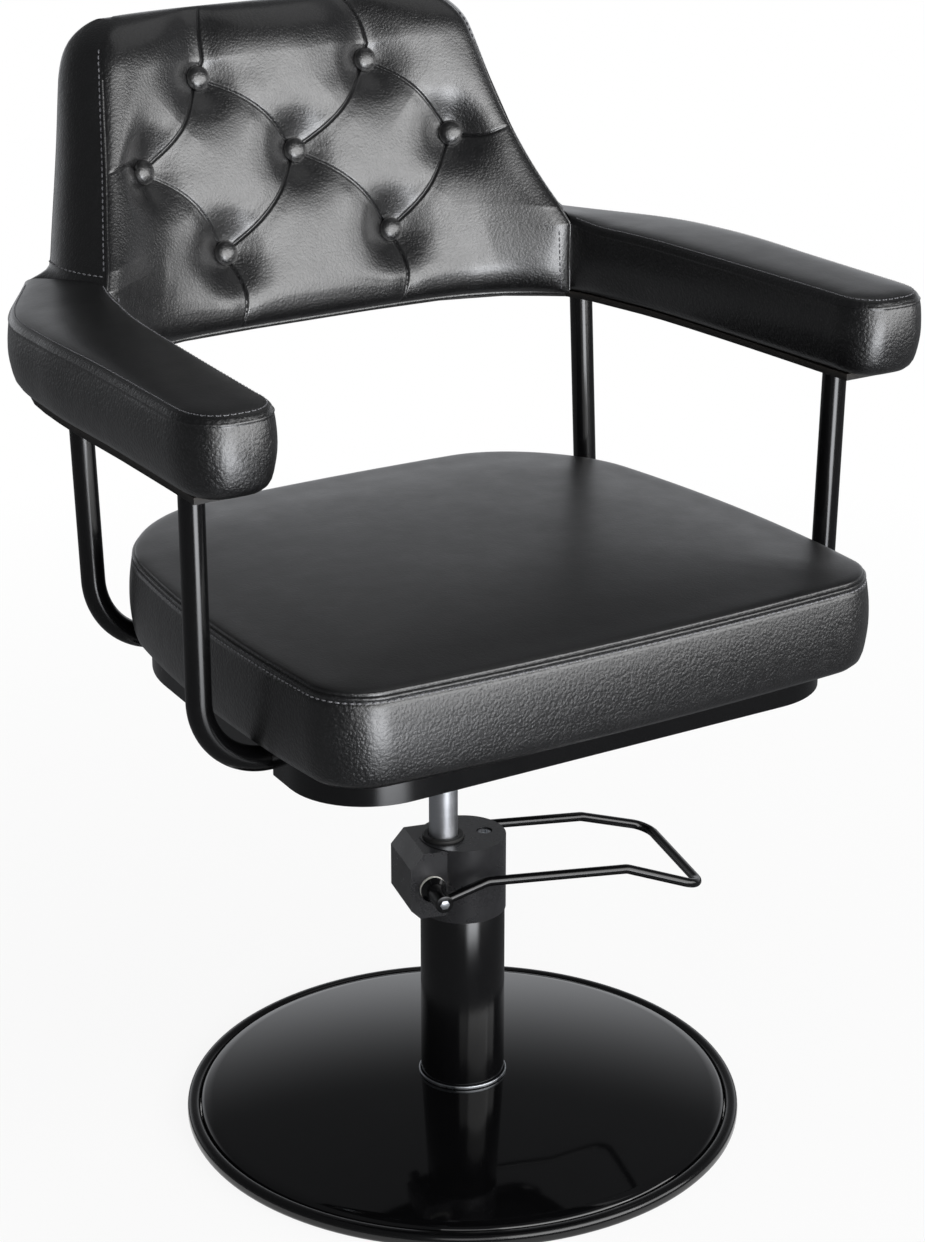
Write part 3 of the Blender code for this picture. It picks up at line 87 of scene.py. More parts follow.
class Slot(Enum):
    """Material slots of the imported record."""

    LEATHER = "leather"
    PLYWOOD = "plywood"
    GLOSS = "gloss_black_steel"
    SATIN = "satin_black_steel"
    ZINC = "zinc_steel"
    CHROME = "chrome"
    NYLON = "nylon"
    RUBBER = "rubber"


class Pattern(Enum):
    """Kinds of surface pattern that a finish is made of."""

    PEBBLE = "pebble"
    CLOUD = "cloud"
    PLIES = "plies"


def linear(colour: str) -> tuple[float, float, float, float]:
    """Turn an sRGB hex colour into a linear one.

    Args:
        colour: Six hex digits after a #.

    Returns:
        Linear red, green, blue and an alpha of 1.
    """
    channels = [int(colour[i:i + 2], 16) / 255.0 for i in (1, 3, 5)]
    bent = [c / 12.92 if c <= 0.04045 else ((c + 0.055) / 1.055) ** 2.4 for c in channels]
    return bent[0], bent[1], bent[2], 1.0


def add_node(tree: NodeTree, kind: str, settings: Optional[dict] = None,
             links: Optional[dict] = None) -> Node:
    """Add a node with its settings and links.

    Args:
        tree: Node tree to add to.
        kind: Blender's name of the node's class.
        settings: Properties by name, and input values by name or number.
        links: Source node and output for each input that is linked.

    Returns:
        The new node.
    """
    node = tree.nodes.new(kind)
    for key, value in (settings or {}).items():
        if isinstance(key, str) and key in node.bl_rna.properties:
            setattr(node, key, value)
        else:
            node.inputs[key].default_value = value
    for key, (source, output) in (links or {}).items():
        tree.links.new(source.outputs[output], node.inputs[key])
    return node


@dataclass(frozen=True)
class Relief:
    """One layer of a finish's surface: a pattern with its real size and depth.

    Attributes:
        pattern: What the layer looks like.
        size_mm: Width of one cell, cloud or ply.
        depth_mm: Height of the relief.
        stretch: Pull of the pattern along x, y and z.
    """

    pattern: Pattern
    size_mm: float
    depth_mm: float
    stretch: tuple[float, float, float] = (1.0, 1.0, 1.0)

    def texture(self, tree: NodeTree, coords: Node) -> tuple[Node, str]:
        """Add the layer's texture nodes.

        Args:
            tree: Node tree to add to.
            coords: Texture coordinate node.

        Returns:
            The texture node and the name of its output.
        """
        scale = tuple(1.0 / pull for pull in self.stretch)
        place = add_node(tree, "ShaderNodeMapping", {"Scale": scale}, {"Vector": (coords, "Object")})
        per_metre = 1.0 / (self.size_mm * MM)
        links = {"Vector": (place, "Vector")}
        if self.pattern is Pattern.PEBBLE:
            settings = {"feature": "SMOOTH_F1", "Scale": per_metre, "Smoothness": 0.35, "Detail": 1.0}
            return add_node(tree, "ShaderNodeTexVoronoi", settings, links), "Distance"
        if self.pattern is Pattern.PLIES:
            settings = {"bands_direction": "Z", "Scale": per_metre / 20.0, "Distortion": 0.6, "Detail": 2.0}
            return add_node(tree, "ShaderNodeTexWave", settings, links), "Fac"
        settings = {"Scale": per_metre / 2.0, "Detail": 3.0, "Roughness": 0.55}
        return add_node(tree, "ShaderNodeTexNoise", settings, links), "Fac"


@dataclass(frozen=True)
class Finish:
    """A real material with the surface that its making gave it.

    Attributes:
        name: Common name of the material and how its surface was made.
        slot: Slot of the record that it belongs to; not used.
        dark: Colour in the hollows of the first layer.
        light: Colour on its heights.
        roughness: Lowest and highest roughness.
        reliefs: Layers of its surface, the first one also colouring it.
        metallic: 1 for bare metal.
        ior: Index of refraction of a finish that isn't a metal.
        coat: Weight of a clear top coat.
        coat_roughness: Roughness of that coat.
        sheen: Weight of the soft sheen of fibres.
    """

    name: str
    slot: Slot
    dark: str
    light: str
    roughness: Pair
    reliefs: tuple[Relief, ...]
    metallic: float = 0.0
    ior: float = 1.5
    coat: float = 0.0
    coat_roughness: float = 0.08
    sheen: float = 0.0

    def material(self) -> Material:
        """Find the finish's material, or make it."""
        return bpy.data.materials.get(self.name) or self.make()

    def make(self) -> Material:
        """Make the material from the finish's colours and layers.

        Returns:
            The new material.
        """
        made = bpy.data.materials.new(self.name)
        made.use_nodes = True
        tree = made.node_tree
        tree.nodes.clear()
        coords = add_node(tree, "ShaderNodeTexCoord")
        layers = [relief.texture(tree, coords) for relief in self.reliefs]
        normal = None
        for relief, (texture, output) in zip(self.reliefs, layers):
            links = {"Height": (texture, output)}
            if normal:
                links["Normal"] = (normal, "Normal")
            settings = {"Strength": 1.0, "Distance": relief.depth_mm * MM,
                        "invert": relief.pattern is Pattern.PEBBLE}
            normal = add_node(tree, "ShaderNodeBump", settings, links)
        low, high = self.dark, self.light
        if self.reliefs[0].pattern is Pattern.PEBBLE:
            low, high = high, low
        # Inputs 6 and 7 of a colour mix are its two colours, and output 2 is the result
        tint = add_node(tree, "ShaderNodeMix", {"data_type": "RGBA", 6: linear(low), 7: linear(high)},
                        {0: layers[0]})
        # The layers' heights lie mostly between 0.3 and 0.7
        smooth, rough = self.roughness
        gloss = add_node(tree, "ShaderNodeMapRange",
                         {"From Min": 0.3, "From Max": 0.7, "To Min": smooth, "To Max": rough},
                         {"Value": layers[-1]})
        plain = {"Metallic": self.metallic, "Coat Weight": self.coat, "Coat Roughness": self.coat_roughness,
                 "Sheen Weight": self.sheen}
        if not self.metallic:
            plain["IOR"] = self.ior
        links = {"Base Color": (tint, 2), "Roughness": (gloss, "Result"), "Normal": (normal, "Normal")}
        shader = add_node(tree, "ShaderNodeBsdfPrincipled", plain, links)
        add_node(tree, "ShaderNodeOutputMaterial", None, {"Surface": (shader, "BSDF")})
        return made


# Corrected-grain hide, embossed and sprayed with a clear satin coat: a fine pebble under broad soft
# highlights. Real grain is about 1 mm; it is drawn at 2.4 mm so that it shows
LEATHER = Finish("embossed_black_leather", Slot.LEATHER, "#050506", "#101012", (0.34, 0.44),
                 (Relief(Pattern.PEBBLE, 2.4, 0.34), Relief(Pattern.CLOUD, 5.0, 0.30)), ior=1.58, coat=1.0,
                 coat_roughness=0.24)
# The same hide pulled hard over a deep side, where the grain opens into coarse dimples
PULLED_LEATHER = Finish("pulled_black_leather", Slot.LEATHER, "#050506", "#101012", (0.34, 0.44),
                        (Relief(Pattern.PEBBLE, 3.0, 0.52), Relief(Pattern.CLOUD, 6.0, 0.36)), coat=0.8,
                        coat_roughness=0.26)
# The flat top panels: the grain is pressed flatter and looks smooth and dark
FLAT_LEATHER = Finish("pressed_black_leather", Slot.LEATHER, "#060607", "#101012", (0.36, 0.44),
                      (Relief(Pattern.PEBBLE, 2.0, 0.12), Relief(Pattern.CLOUD, 12.0, 0.30)), coat=0.65,
                      coat_roughness=0.32)
# Bonded polyester sewing thread, dark grey and round; its colour is set lighter as a painted highlight for
# the glint on each stitch
THREAD_PAINTED_GLINT = Finish("bonded_polyester_thread_painted_glint", Slot.LEATHER, "#3c3c40", "#77777c", (0.30, 0.42),
                (Relief(Pattern.CLOUD, 0.6, 0.05),), sheen=0.2)
# Stoved black enamel on spun steel: a mirror-like wet gloss with a trace of orange peel
ENAMEL = Finish("stoved_black_enamel", Slot.GLOSS, "#060607", "#0a0a0b", (0.05, 0.08),
                (Relief(Pattern.CLOUD, 18.0, 0.010), Relief(Pattern.CLOUD, 90.0, 0.02)), coat=0.25)
# Satin black powder coat on tube and castings: soft-edged highlights and a slight texture
POWDER = Finish("satin_black_powder_coat", Slot.SATIN, "#060607", "#0b0b0c", (0.14, 0.20),
                (Relief(Pattern.CLOUD, 1.2, 0.008), Relief(Pattern.CLOUD, 30.0, 0.02)))
# Brushed black paint over a sand casting: duller and greyer than the tubes
CAST_PAINT = Finish("brushed_black_casting_paint", Slot.SATIN, "#18181a", "#262628", (0.24, 0.32),
                    (Relief(Pattern.CLOUD, 1.6, 0.03), Relief(Pattern.CLOUD, 14.0, 0.05)))
# Ground and hard-chromed rod: bright, with faint rings from the grinding
CHROME = Finish("ground_hard_chrome", Slot.CHROME, "#b9bbbf", "#c9cbcf", (0.34, 0.40),
                (Relief(Pattern.CLOUD, 0.8, 0.002, (30.0, 30.0, 1.0)),), metallic=1.0)
# Bright zinc plate on fasteners and hidden steel: grey, slightly blotched
ZINC = Finish("bright_zinc_plate", Slot.ZINC, "#8f9296", "#c2c5c9", (0.26, 0.40),
              (Relief(Pattern.CLOUD, 4.0, 0.01),), metallic=1.0)
# Moulded white nylon: waxy and even
NYLON = Finish("moulded_white_nylon", Slot.NYLON, "#d9d7d0", "#eeece6", (0.38, 0.48),
               (Relief(Pattern.CLOUD, 1.5, 0.02),))
# Moulded nitrile rubber: dull and black
RUBBER = Finish("moulded_nitrile_rubber", Slot.RUBBER, "#0b0b0b", "#161616", (0.55, 0.70),
                (Relief(Pattern.CLOUD, 1.0, 0.03),))
# Birch plywood stained black under the upholstery: plies show as faint bands on its edge. Real plies are
# 1.4 mm; the bands are drawn some six times as wide so that they show
PLYWOOD = Finish("stained_birch_plywood", Slot.PLYWOOD, "#0f0d0c", "#231f1b", (0.55, 0.70),
                 (Relief(Pattern.PLIES, 1.4, 0.05), Relief(Pattern.CLOUD, 6.0, 0.05, (8.0, 1.0, 1.0))))


@dataclass
class Form:
    """Points and faces of a mesh before it becomes a piece."""

    points: np.ndarray
    faces: list

    def moved(self, matrix: Matrix) -> "Form":
        """The form carried to another place by a matrix."""
        turned = self.points @ np.array(matrix.to_3x3()).T + np.array(matrix.to_translation())
        return Form(turned, self.faces)


def joined(forms: Sequence[Form]) -> Form:
    """Hold several forms in one.

    Args:
        forms: The forms.

    Returns:
        One form with all their points and faces.
    """
    faces = []
    step = 0
    for form in forms:
        faces += [tuple(i + step for i in face) for face in form.faces]
        step += len(form.points)
    return Form(np.vstack([form.points for form in forms]), faces)


def grid_form(points: np.ndarray, wrap: bool = True, caps: tuple[bool, bool] = (True, True)) -> Form:
    """Faces over a grid of points.

    Args:
        points: Rows by columns by 3.
        wrap: Whether each row closes on itself.
        caps: Whether the first and the last row are closed with a fan.

    Returns:
        The form.
    """
    rows, columns = points.shape[:2]
    index = np.arange(rows * columns).reshape(rows, columns)
    right = np.roll(index, -1, axis=1)
    last = columns if wrap else columns - 1
    quads = np.stack([index[:-1], right[:-1], right[1:], index[1:]], axis=-1)[:, :last].reshape(-1, 4)
    flat = points.reshape(-1, 3)
    faces = [tuple(quad) for quad in quads.tolist()]
    for row, wanted in ((0, caps[0]), (rows - 1, caps[1])):
        if wanted:
            hub = len(flat)
            flat = np.vstack([flat, points[row].mean(axis=0)])
            ends = zip(index[row].tolist(), right[row].tolist())
            faces += [(a, b, hub) if row else (b, a, hub) for a, b in ends]
    return Form(flat, faces)


def revolve(profile: Sequence, steps: int = 96, closed: bool = False) -> Form:
    """Turn a profile about Z.

    Args:
        profile: Points of (radius, height).
        steps: Facets round.
        closed: Whether the last point joins the first, as in a ring.

    Returns:
        The form, with points on the axis still to be merged.
    """
    line = np.array([(point[0], point[-1]) for point in profile])
    if closed:
        line = np.vstack([line, line[:1]])
    turn = np.linspace(0.0, math.tau, steps, endpoint=False)
    rows = [np.column_stack([r * np.cos(turn), r * np.sin(turn), np.full(steps, z)]) for r, z in line]
    return grid_form(np.array(rows), True, (False, False))


def bent_path(corners: Sequence, radius: float, steps: int = 8, closed: bool = False) -> list:
    """Round the corners of a path with arcs of one radius.

    Args:
        corners: Points of the path.
        radius: Radius of each arc.
        steps: Pieces of each arc.
        closed: Whether the path closes, so that its ends are rounded too.

    Returns:
        Points along the rounded path.
    """
    spots = [Vector(corner) for corner in corners]
    triples = list(zip(spots, spots[1:], spots[2:]))
    if closed:
        triples = list(zip(spots[-1:] + spots[:-1], spots, spots[1:] + spots[:1]))
    path = [] if closed else [spots[0]]
    for before, corner, after in triples:
        into = (before - corner).normalized()
        out = (after - corner).normalized()
        half = into.angle(out) / 2.0
        # A corner that hardly turns stays a point, and no arc takes up more than half of a side
        if half > math.radians(89.0):
            path.append(corner)
            continue
        reach = min(radius / math.tan(half), 0.49 * (before - corner).length, 0.49 * (after - corner).length)
        size = reach * math.tan(half)
        centre = corner + (into + out).normalized() * (size / math.sin(half))
        start = (corner + into * reach - centre).normalized()
        end = (corner + out * reach - centre).normalized()
        path.extend(centre + start.slerp(end, i / steps) * size for i in range(steps + 1))
    if not closed:
        path.append(spots[-1])
    return path


def flat_path(profile: Sequence, radius: float, steps: int = 3, closed: bool = False) -> list:
    """Round the corners of a turned profile of (radius, height) points; see bent_path."""
    return bent_path([(r, 0.0, z) for r, z in profile], radius, steps, closed)


def turned_ring(radii: Pair, levels: Pair, edge: float, steps: int,
                facets: int) -> Form:
    """A turned ring of rectangular section with rounded edges.

    Args:
        radii: Inner and outer radius.
        levels: Heights of its lower and upper face.
        edge: Radius of its edges.
        steps: Pieces of each rounded edge.
        facets: Facets round it.

    Returns:
        The form.
    """
    (inner, outer), (low, high) = radii, levels
    section = [(inner, low), (outer, low), (outer, high), (inner, high)]
    return revolve(flat_path(section, edge, steps, True), facets, True)


def turned_plug(radius: float, levels: Pair, facets: int) -> Form:
    """A plain turned cylinder between two heights; see turned_ring."""
    low, high = levels
    return revolve([(0.0, high), (radius, high), (radius, low), (0.0, low)], facets)


def half_width(node: str) -> float:
    """Half the width of a node of the frame, which is the radius of a turned one."""
    low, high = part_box(node)
    return (high.x - low.x) / 2.0


def heights(node: str) -> Pair:
    """Heights of the lowest and the highest point of a node of the frame."""
    low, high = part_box(node)
    return low.z, high.z


def sweep(path: Sequence, radius: float, sides: int = 24) -> Form:
    """A round bar along a path.

    Args:
        path: Points along the bar.
        radius: Its radius.
        sides: Facets round it.

    Returns:
        The form, closed at both ends.
    """
    spots = np.array([tuple(point) for point in path])
    along = np.gradient(spots, axis=0)
    along /= np.linalg.norm(along, axis=1, keepdims=True)
    side = np.cross(along[0], (0.0, 0.0, 1.0) if abs(along[0][2]) < 0.9 else (1.0, 0.0, 0.0))
    turn = np.linspace(0.0, math.tau, sides, endpoint=False)
    rows = []
    for spot, lead in zip(spots, along):
        side = side - lead * side.dot(lead)
        side = side / np.linalg.norm(side)
        up = np.cross(lead, side)
        rows.append(spot + radius * (np.outer(np.cos(turn), side) + np.outer(np.sin(turn), up)))
    return grid_form(np.array(rows))


def spline_rows(values: np.ndarray, spots: np.ndarray, wrap: bool = False) -> np.ndarray:
    """Smooth values between rows of an array.

    Args:
        values: Rows to run through.
        spots: Fractional row numbers to read.
        wrap: Whether the last row joins the first.

    Returns:
        One row of values for each spot.
    """
    if wrap:
        line = np.concatenate([values[-1:], values, values[:2]])
        spots = np.mod(spots, len(values))
    else:
        line = np.concatenate([2.0 * values[:1] - values[1:2], values, 2.0 * values[-1:] - values[-2:-1]])
        spots = np.clip(spots, 0.0, len(values) - 1.0)
    base = np.minimum(spots.astype(int), len(line) - 4)
    t = (spots - base).reshape(-1, *([1] * (values.ndim - 1)))
    a, b, c, d = (line[base + step] for step in range(4))
    return 0.5 * (2.0 * b + (c - a) * t + (2.0 * a - 5.0 * b + 4.0 * c - d) * t ** 2
                  + (3.0 * b - a - 3.0 * c + d) * t ** 3)


def smooth_step(value: Any) -> Any:
    """Smooth ramp from 0 to 1, for a number or an array."""
    value = np.clip(value, 0.0, 1.0)
    return value * value * (3.0 - 2.0 * value)


def lengths(line: np.ndarray) -> np.ndarray:
    """How far along a line of points each of them is."""
    return np.concatenate([[0.0], np.cumsum(np.linalg.norm(np.diff(line, axis=0), axis=1))])


def even_loop(outline: np.ndarray, count: int) -> np.ndarray:
    """Spread points evenly round a closed outline.

    Args:
        outline: Points round the outline.
        count: How many points to spread.

    Returns:
        The spread points.
    """
    closed = np.vstack([outline, outline[:1]])
    run = lengths(closed)
    spots = np.linspace(0.0, run[-1], count, endpoint=False)
    return np.column_stack([np.interp(spots, run, closed[:, k]) for k in range(closed.shape[1])])


def bowed_outline(half_x: float, half_y: float, corners: Pair, bows: Pair,
                  taper: float, count: int) -> np.ndarray:
    """Plan of a rounded seat whose sides bow and whose front is wider than its rear.

    Args:
        half_x: Half width.
        half_y: Half depth.
        corners: Radii of the front and rear corners.
        bows: How far the ends of the front and of the sides fall back.
        taper: Loss of half width for each metre to the rear.
        count: How many points to spread round it.

    Returns:
        Points of the plan, anticlockwise from the rear right.
    """
    front, rear = corners
    points = []
    quarters = ((rear, 0, 1, 1), (rear, 90, -1, 1), (front, 180, -1, -1), (front, 270, 1, -1))
    for corner, start, sx, sy in quarters:
        turn = np.radians(np.linspace(start, start + 90, 25))
        points.append(np.column_stack([sx * (half_x - corner) + corner * np.cos(turn),
                                       sy * (half_y - corner) + corner * np.sin(turn)]))
    x, y = even_loop(np.vstack(points), count).T
    wide = (half_x - bows[1] * (y / half_y) ** 2 - taper * y) / half_x
    deep = (half_y - bows[0] * (x / half_x) ** 2) / half_y
    return np.column_stack([x * wide, y * deep])


@dataclass
class Sheet:
    """A grid of points over a surface, whose rows may close on themselves."""

    points: np.ndarray
    wrap: bool

    def normals(self) -> np.ndarray:
        """Outward directions at the grid's points.

        Returns:
            Rows by columns by 3.
        """
        if self.wrap:
            across = np.roll(self.points, -1, axis=1) - np.roll(self.points, 1, axis=1)
        else:
            across = np.gradient(self.points, axis=1)
        out = np.cross(across, np.gradient(self.points, axis=0))
        return out / np.maximum(np.linalg.norm(out, axis=2, keepdims=True), 1e-12)

    def read(self, values: np.ndarray, rows: np.ndarray, columns: np.ndarray) -> np.ndarray:
        """Values of the grid at each pair of a fractional row and column number."""
        some = spline_rows(values, rows)
        return spline_rows(some.transpose(1, 0, 2), columns, self.wrap).transpose(1, 0, 2)

    def blurred(self, values: np.ndarray) -> np.ndarray:
        """Even out values over the grid, as thick leather does.

        Args:
            values: Rows by columns by 3.

        Returns:
            The evened values.
        """
        mode = "wrap" if self.wrap else "edge"
        for _ in range(BLUR_PASSES):
            wide = np.pad(values, ((0, 0), (1, 1), (0, 0)), mode)
            values = (wide[:, :-2] + 2.0 * wide[:, 1:-1] + wide[:, 2:]) / 4.0
            tall = np.pad(values, ((1, 1), (0, 0), (0, 0)), "edge")
            values = (tall[:-2] + 2.0 * tall[1:-1] + tall[2:]) / 4.0
        return values

    def swelled(self, held: np.ndarray, reach: float, pressure: float = 4.0) -> np.ndarray:
        """Blow the sheet up between the seams that hold it, by a short cloth simulation.

        Args:
            held: Weight, for each point, of how fast it is held.
            reach: Farthest that a point ends up from where it was.
            pressure: Air pressure behind the sheet.

        Returns:
            How each point moved.
        """
        form = grid_form(self.points, self.wrap, (False, False))
        mesh = bpy.data.meshes.new("swelling")
        mesh.from_pydata(form.points.tolist(), [], form.faces)
        obj = bpy.data.objects.new("swelling", mesh)
        bpy.context.scene.collection.objects.link(obj)
        group = obj.vertex_groups.new(name="held")
        for index, weight in enumerate(held.reshape(-1)):
            if weight > 0.01:
                group.add([index], float(weight), "REPLACE")
        cloth = obj.modifiers.new("cloth", "CLOTH")
        cloth.settings.quality = 4
        cloth.settings.vertex_group_mass = "held"
        cloth.settings.use_pressure = True
        cloth.settings.uniform_pressure_force = pressure
        cloth.settings.effector_weights.gravity = 0.0
        cloth.point_cache.frame_start = 1
        cloth.point_cache.frame_end = SWELL_FRAMES
        for number in range(1, SWELL_FRAMES + 1):
            bpy.context.scene.frame_set(number)
        done = obj.evaluated_get(bpy.context.evaluated_depsgraph_get()).to_mesh()
        moved = np.zeros(len(done.vertices) * 3)
        done.vertices.foreach_get("co", moved)
        bpy.data.objects.remove(obj, do_unlink=True)
        bpy.data.meshes.remove(mesh)
        bpy.context.scene.frame_set(1)
        shift = self.blurred(moved.reshape(-1, 3)[:held.size].reshape(self.points.shape) - self.points)
        shift = shift * (1.0 - held[:, :, None])
        far = np.linalg.norm(shift, axis=2, keepdims=True)
        LOG.info("cloth moved up to %.1f mm", far.max() / MM)
        return shift * (reach / max(far.max(), 1e-9))


def stitches(spots: np.ndarray, outward: np.ndarray, pitch: float = 0.0060, length: float = 0.0042,
             radius: float = 0.00075) -> Form:
    """A row of sewn stitches along a line on a surface.

    Args:
        spots: Points along the line.
        outward: Surface directions there.
        pitch: Distance from stitch to stitch.
        length: Length of a stitch that shows.
        radius: Radius of the thread.

    Returns:
        All the stitches as one form.
    """
    run = lengths(spots)
    count = int(run[-1] / pitch)
    sides = np.linspace(0.0, math.tau, 6, endpoint=False)
    made = []
    for number in range(count):
        reach = np.linspace(-0.5, 0.5, 5)
        at = (number + 0.5) * pitch + reach * length
        line = np.column_stack([np.interp(at, run, spots[:, k]) for k in range(3)])
        up = np.array([np.interp(at[2], run, outward[:, k]) for k in range(3)])
        lead = line[-1] - line[0]
        lead /= np.linalg.norm(lead)
        side = np.cross(lead, up)
        # The stitch arches out of the leather and thins towards its ends
        line = line + np.outer(radius * (0.75 - 5.0 * reach ** 2), up)
        thick = radius * (1.0 - 1.6 * reach ** 2)
        ring = np.outer(np.cos(sides), side) + np.outer(np.sin(sides), up)
        made.append(grid_form(line[:, None, :] + thick[:, None, None] * ring))
    return joined(made)


@dataclass(frozen=True)
class HexBolt:
    """A hexagon bolt whose head sits on a plane.

    Attributes:
        across: Width across the flats.
        height: Height of the head.
        shank: Radius of the shank.
        depth: Length of the shank below the plane.
        root: Length of the shank inside the head.
        chamfer: Share of the head that its chamfer leaves.
    """

    across: float
    height: float
    shank: float
    depth: float = 0.0001
    root: float = 0.0005
    chamfer: float = 0.82

    def group(self, spots: Sequence[Matrix]) -> Form:
        """Copies of the bolt as one form.

        Args:
            spots: Place of each copy, whose head stands up along z.

        Returns:
            The form.
        """
        corner = self.across / math.sqrt(3.0)
        flat = self.chamfer
        head = [(0.0, self.height), (flat * corner, self.height), (corner, flat * self.height), (corner, 0.0),
                (self.shank, 0.0)]
        body = [(self.shank, self.root), (self.shank, -self.depth), (0.0, -self.depth)]
        bolt = joined([revolve(head, 6), revolve(body, 24)])
        return joined([bolt.moved(spot) for spot in spots])


def clean_mesh(name: str, form: Form) -> Mesh:
    """Make a mesh of a form, with doubled points merged and its faces turned outward.

    Args:
        name: Name of the mesh.
        form: Its points and faces.

    Returns:
        The mesh.
    """
    mesh = bpy.data.meshes.new(name)
    mesh.from_pydata(form.points.tolist(), [], form.faces)
    bm = bmesh.new()
    bm.from_mesh(mesh)
    bmesh.ops.remove_doubles(bm, verts=bm.verts, dist=1e-6)
    bmesh.ops.recalc_face_normals(bm, faces=bm.faces)
    bm.to_mesh(mesh)
    bm.free()
    return mesh


@dataclass
class Assembly:
    """Pieces that belong together on one body of the frame."""

    body: Body = Body.SEAT

    @property
    def ram_axis(self) -> Vector:
        """Where the ram's axis meets the floor."""
        low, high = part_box("ram")
        return Vector(((low.x + high.x) / 2.0, (low.y + high.y) / 2.0, 0.0))

    @property
    def pump_place(self) -> Matrix:
        """Place of the pump's own axes: the ram lies on its -x side."""
        axis = self.ram_axis
        return Matrix.Rotation(math.atan2(-axis.y, -axis.x), 4, "Z")

    def add(self, name: str, shape: Form | Mesh, finish: Finish, nodes: Sequence[str] = (),
            sharp: float = 40.0) -> Object:
        """Make a form or a finished mesh into a piece that rides on the assembly's body.

        Args:
            name: Name of the piece.
            shape: Its form or mesh, in the frame.
            finish: Its finish.
            nodes: Nodes of the frame that it stands for.
            sharp: Angle in degrees above which an edge stays sharp.

        Returns:
            The piece.
        """
        mesh = clean_mesh(name, shape) if isinstance(shape, Form) else shape
        obj = bpy.data.objects.new(name, mesh)
        bpy.context.scene.collection.objects.link(obj)
        obj.data.shade_smooth()
        obj.data.set_sharp_from_angle(angle=math.radians(sharp))
        obj.data.materials.append(finish.material())
        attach(obj, self.body.value)
        if nodes:
            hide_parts(*nodes)
        LOG.info("%s, %s, on %s", obj.name, finish.name, self.body.value)
        return obj

    def dress(self, finish: Finish, *nodes: str) -> None:
        """Give nodes of the frame that stay in view a finish.

        Args:
            finish: The finish.
            nodes: Names of the nodes.
        """
        for name in nodes:
            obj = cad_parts[name]
            obj.data.materials.clear()
            obj.data.materials.append(finish.material())
            LOG.info("%s keeps its solid, %s", name, finish.name)

    def build(self) -> None:
        """Make every piece of the assembly."""
        raise NotImplementedError


def solid(name: str, form: Form) -> Object:
    """A closed working solid in the scene, to be cut or joined.

    Args:
        name: Its name.
        form: Its points and faces.

    Returns:
        The object.
    """
    obj = bpy.data.objects.new(name, clean_mesh(name, form))
    bpy.context.scene.collection.objects.link(obj)
    return obj


def carved(name: str, form: Form, grown: Sequence[Form], cut: Sequence[Form], edge: float) -> Mesh:
    """A solid with others joined to it and cut from it, and its edges rounded.

    Args:
        name: Name of the piece.
        form: The first solid.
        grown: Solids to join to it.
        cut: Solids to cut from it.
        edge: Radius of its edges.

    Returns:
        The finished mesh.
    """
    first = solid(name + "_work", form)
    tools = []
    for operation, forms in (("UNION", grown), ("DIFFERENCE", cut)):
        for other in forms:
            tool = solid(name + "_tool", other)
            step = first.modifiers.new(operation, "BOOLEAN")
            step.operation = operation
            step.object = tool
            tools.append(tool)
    weld = first.modifiers.new("weld", "WELD")
    weld.merge_threshold = 0.00003
    bevel = first.modifiers.new("edge", "BEVEL")
    bevel.width = edge
    bevel.segments = 3
    bevel.limit_method = "ANGLE"
    bevel.angle_limit = math.radians(32.0)
    bpy.context.view_layer.update()
    mesh = bpy.data.meshes.new_from_object(first.evaluated_get(bpy.context.evaluated_depsgraph_get()))
    mesh.name = name
    for obj in [first] + tools:
        bpy.data.objects.remove(obj, do_unlink=True)
    return mesh


@dataclass
class RoundBase(Assembly):
    """Spun base with its edge ring, the column and its bright collar."""

    body: Body = Body.BASE
    radius: float = 0.265
    rim_width: float = 0.0125
    rim_height: float = 0.014
    rim_round: float = 0.0052
    sheet: float = 0.0025
    edge_height: float = 0.0125
    dome_height: float = 0.036
    # Rolled lip of the cover: where it starts, and then distances in from its edge and drops below the dome
    lip_start: float = 0.004
    lip: tuple = ((0.0015, 0.0006), (0.0, 0.0025))
    column_wall: float = 0.003
    column_round: float = 0.0004
    collar_round: float = 0.0008
    bolt_ring: float = 0.060
    bolts: int = 6
    bolt: HexBolt = HexBolt(0.010, 0.005, 0.003)

    def height(self, radius: float) -> float:
        """Top of the spun cover at a radius, a low dome."""
        return self.edge_height + (self.dome_height - self.edge_height) * (1.0 - (radius / self.radius) ** 2)

    def build(self) -> None:
        """Make the cover, edge ring, column, collar and flange bolts."""
        inner = self.radius - self.rim_width
        edge = inner - GAP
        column = half_width("column_sleeve")
        hole = column + GAP
        top = [(r, self.height(r)) for r in np.linspace(hole, edge - self.lip_start, 28)]
        lip = [(edge - inset, self.height(inner) - drop) for inset, drop in self.lip]
        floor_z = heights("base_plate")[1] + GAP
        under = [(r, z - self.sheet) for r, z in reversed(top)]
        profile = top + lip + [(edge, floor_z), (edge - self.sheet, floor_z)] + under
        self.add("base_cover", revolve(profile, 144, True), ENAMEL, ["base_disc"], sharp=55.0)
        rim = turned_ring((inner, self.radius), (0.0, self.rim_height), self.rim_round, 6, 144)
        self.add("base_edge_ring", rim, POWDER, ["base_rim"])
        tube = (column - self.column_wall, column)
        sleeve = turned_ring(tube, heights("column_sleeve"), self.column_round, 2, 96)
        self.add("column_tube", sleeve, POWDER, ["column_sleeve"])
        collar = turned_ring((hole, half_width("column_foot_ring")), heights("column_foot_ring"),
                             self.collar_round, 4, 96)
        self.add("column_collar", collar, ZINC, ["column_foot_ring"])
        out = Matrix.Translation((self.bolt_ring, 0.0, heights("column_flange")[1] + GAP))
        turns = [Matrix.Rotation(math.tau * number / self.bolts, 4, "Z") for number in range(self.bolts)]
        self.add("flange_bolts", self.bolt.group([turn @ out for turn in turns]), ZINC)
        self.dress(POWDER, "column_flange")
        self.dress(ZINC, "base_plate")


